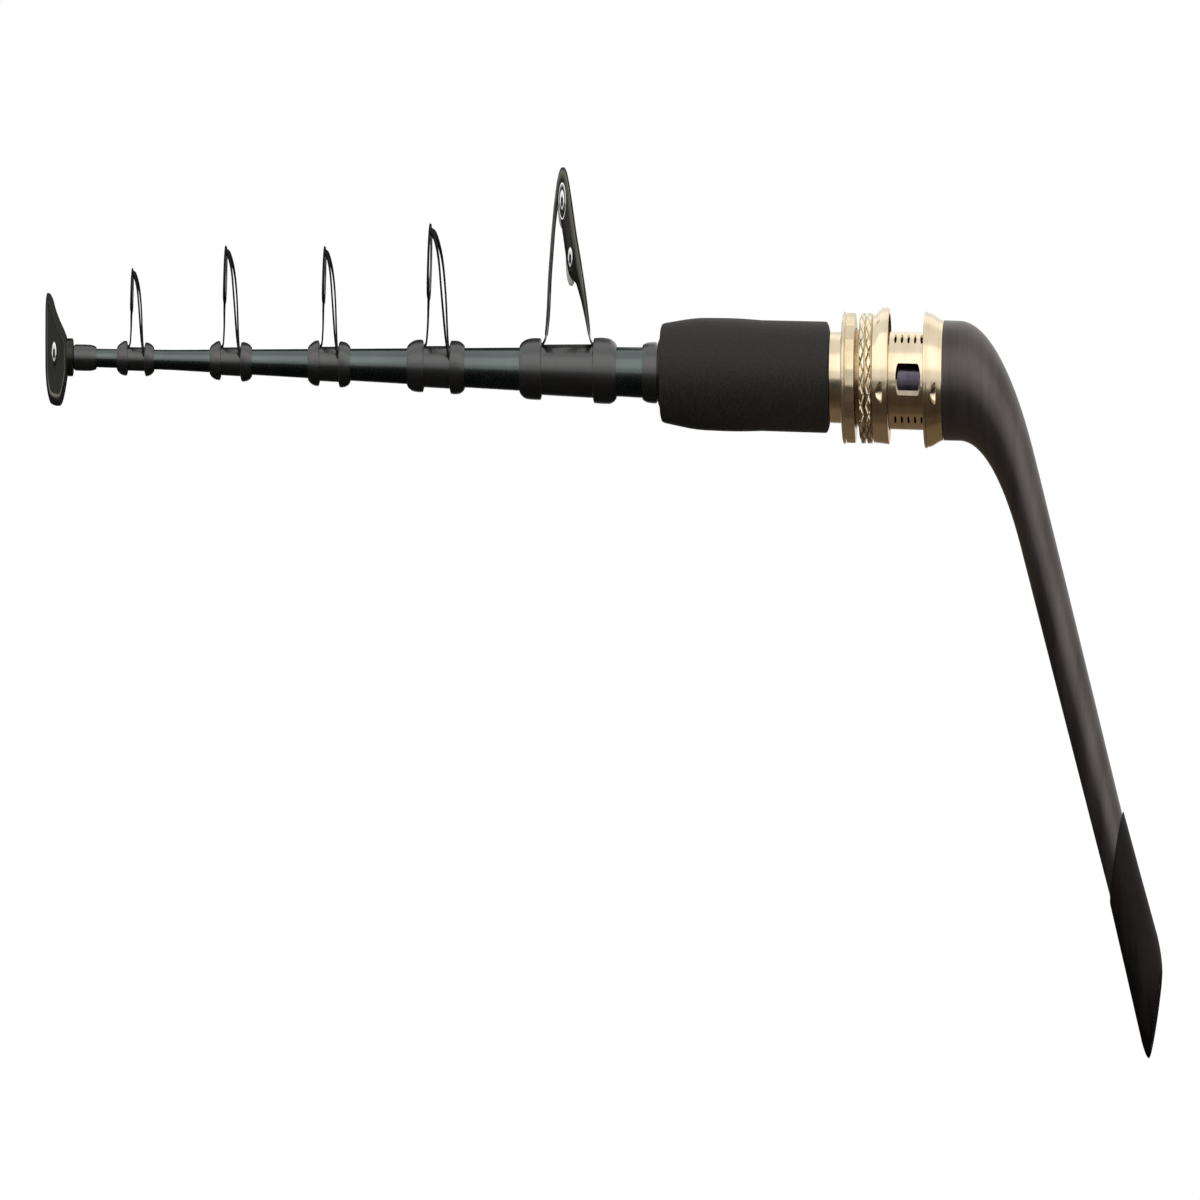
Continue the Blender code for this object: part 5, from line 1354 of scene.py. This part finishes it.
# a faceted body with a round collar towards the tip
def makeJamNut():
    near, far, bore = -nuts["jamStart"], -nuts["jamStart"] - nuts["jamLength"], nuts["bore"]
    collar = far + nuts["collar"]
    top, high = nuts["collarRadius"], nuts["jamRadius"]

    def facets(x, radius, angle):
        if radius <= bore + 0.0004 or x < collar + 0.0005:
            return radius
        return min(radius, facet(angle, nuts["facets"], high) - 0.0001)

    profile = [(near, bore), (near, high - 0.0012), (near - 0.0005, high - 0.0004),
               (near - 0.0014, high)]
    profile += [(near - 0.0014 + (collar + 0.0012 - near + 0.0014) * k / 8, high)
                for k in range(1, 9)]
    profile += [(collar + 0.0004, high - 0.0010), (collar - 0.0002, top - 0.0012),
                (collar - 0.0007, top - 0.0005), (collar - 0.0014, top - 0.0001),
                (collar - 0.0022, top), (far + 0.0028, top), (far + 0.0014, top - 0.0004),
                (far + 0.0007, top - 0.0011), (far + 0.0002, top - 0.0019), (far, top - 0.0026),
                (far, bore)]
    settle(makePiece("jamNut", turned(profile, sides=192, relief=facets), "pale", sharp=18),
           "jam_nut", "gold_anodised", "jam_nut")


# the dark tube inside the barrel, seen through its slot and vents
def makeSleeve():
    outer, inner = seat["bore"] - line["fitGap"], blank["buttRadius"] + line["fitGap"]
    rear, front = -seat["sleeveRear"] - line["fitGap"], -seat["front"] + line["fitGap"]
    profile = [(rear, inner), (rear, outer), (front, outer), (front, inner)]
    settle(makePiece("seatSleeve", turned(profile, sides=96), "sleeve"),
           "rod", "dark_sleeve", "seat_sleeve")


for make in (makeBarrel, makeSleeve, makeSeatThread, makeRearHood, makeFrontHood, makeHoodNut,
             makeJamNut):
    make()
print("reel seat ready")


# Bent butt and the rubber cap that slides over its end

butt = {"topRadius": 0.0167, "endRadius": 0.0140, "taper": 1.8, "wall": 0.0022, "end": 0.0386,
        "capLength": 0.0725, "capWall": 0.0060, "capBore": 0.0146, "capMouth": 0.0162,
        "capFlare": 0.0010, "capBulge": 0.0186, "capFace": 0.0144, "capRound": 0.0120,
        "pinAt": -0.0516, "pinHole": 0.0023}


def makeButtTube():
    start = Vector((line["seatRear"], 0.0, line["height"]))
    centre = start + Vector((line["stub"], 0.0, -line["bendRadius"]))
    down = Vector((math.cos(slope), 0.0, -math.sin(slope)))
    path = [(start, 0.0), (start + Vector((0.5 * line["stub"], 0.0, 0.0)), 0.0)]
    for angle in (slope * k / 40 for k in range(41)):
        reach = Vector((math.sin(angle), 0.0, math.cos(angle))) * line["bendRadius"]
        path.append((centre + reach, angle))
    top, low = path[-1][0], -down * butt["end"]
    path += [(top.lerp(low, k / 12), slope) for k in range(1, 13)]
    gone = [0.0]
    for (here, _), (there, _) in zip(path, path[1:]):
        gone.append(gone[-1] + (there - here).length)

    def wall(depth):
        rings = []
        for (spot, angle), way in zip(path, gone):
            share = (way / gone[-1]) ** butt["taper"]
            radius = butt["topRadius"] - (butt["topRadius"] - butt["endRadius"]) * share - depth
            up, side = Vector((math.sin(angle), 0.0, math.cos(angle))), Vector((0.0, 1.0, 0.0))
            rings.append([spot + up * (radius * math.cos(a)) - side * (radius * math.sin(a))
                          for a in angles(96)])
        return rings

    shape = skin(wall(0.0) + wall(butt["wall"])[::-1], closed=True)
    tube = makePiece("buttTube", shape, "butt", Matrix.Identity(4))
    place = buttLine @ Matrix.Translation((butt["pinAt"], 0.0, 0.0)) @ acrossRod
    carve(tube, [makePiece("pinHole", drill(butt["pinHole"], -0.03, 0.03, 32), "butt", place)])
    settle(tube, "rod", "black_butt", "butt_tube")


# a moulded cap: plain skirt with a soft lip, swelling to a rounded face with a shallow ring
def makeCap():
    mouth, length, broad = butt["capMouth"], butt["capLength"], butt["capMouth"] + butt["capFlare"]
    bulge, face, edge = butt["capBulge"], butt["capFace"], butt["capRound"]
    profile = [(-butt["capWall"], butt["capBore"]), (-length, butt["capBore"]),
               (-length, mouth - 0.0006), (-length + 0.0003, mouth - 0.0001)]
    profile += [(-length + 0.0010 + (0.38 * length - 0.0010) * k / 6,
                 mouth + butt["capFlare"] * k / 6) for k in range(7)]
    profile += [(-0.62 * length + (0.62 * length - edge) * k / 8, broad + (bulge - broad) * (k / 8))
                for k in range(1, 9)]
    profile += [(-edge * (1 - math.sin(a)), face + (bulge - face) * math.cos(a))
                for a in quarter(14)[1:]]
    profile += [(0.0, 0.0118), (-0.0007, 0.0112), (-0.0007, 0.0102), (0.0, 0.0096)]
    settle(makePiece("gimbalCap", turned(profile, sides=128, solid=True), "rubber", buttLine),
           "gimbal_cap", "black_rubber", "gimbal_cap")


makeButtTube()
makeCap()
print("butt ready")


# The CAD model's own shapes stay for what is hidden or plain, and take their finish here

plainNodes = {
    "butt_ferrule": "steel", "gimbal": "gold", "gimbal_pin": "steel", "tip_bushing": "bronze",
    "stripper_upper_bushing": "bronze", "stripper_lower_bushing": "bronze",
}
for name, key in plainNodes.items():
    cad[name].data.materials.clear()
    cad[name].data.materials.append(finishes[key])
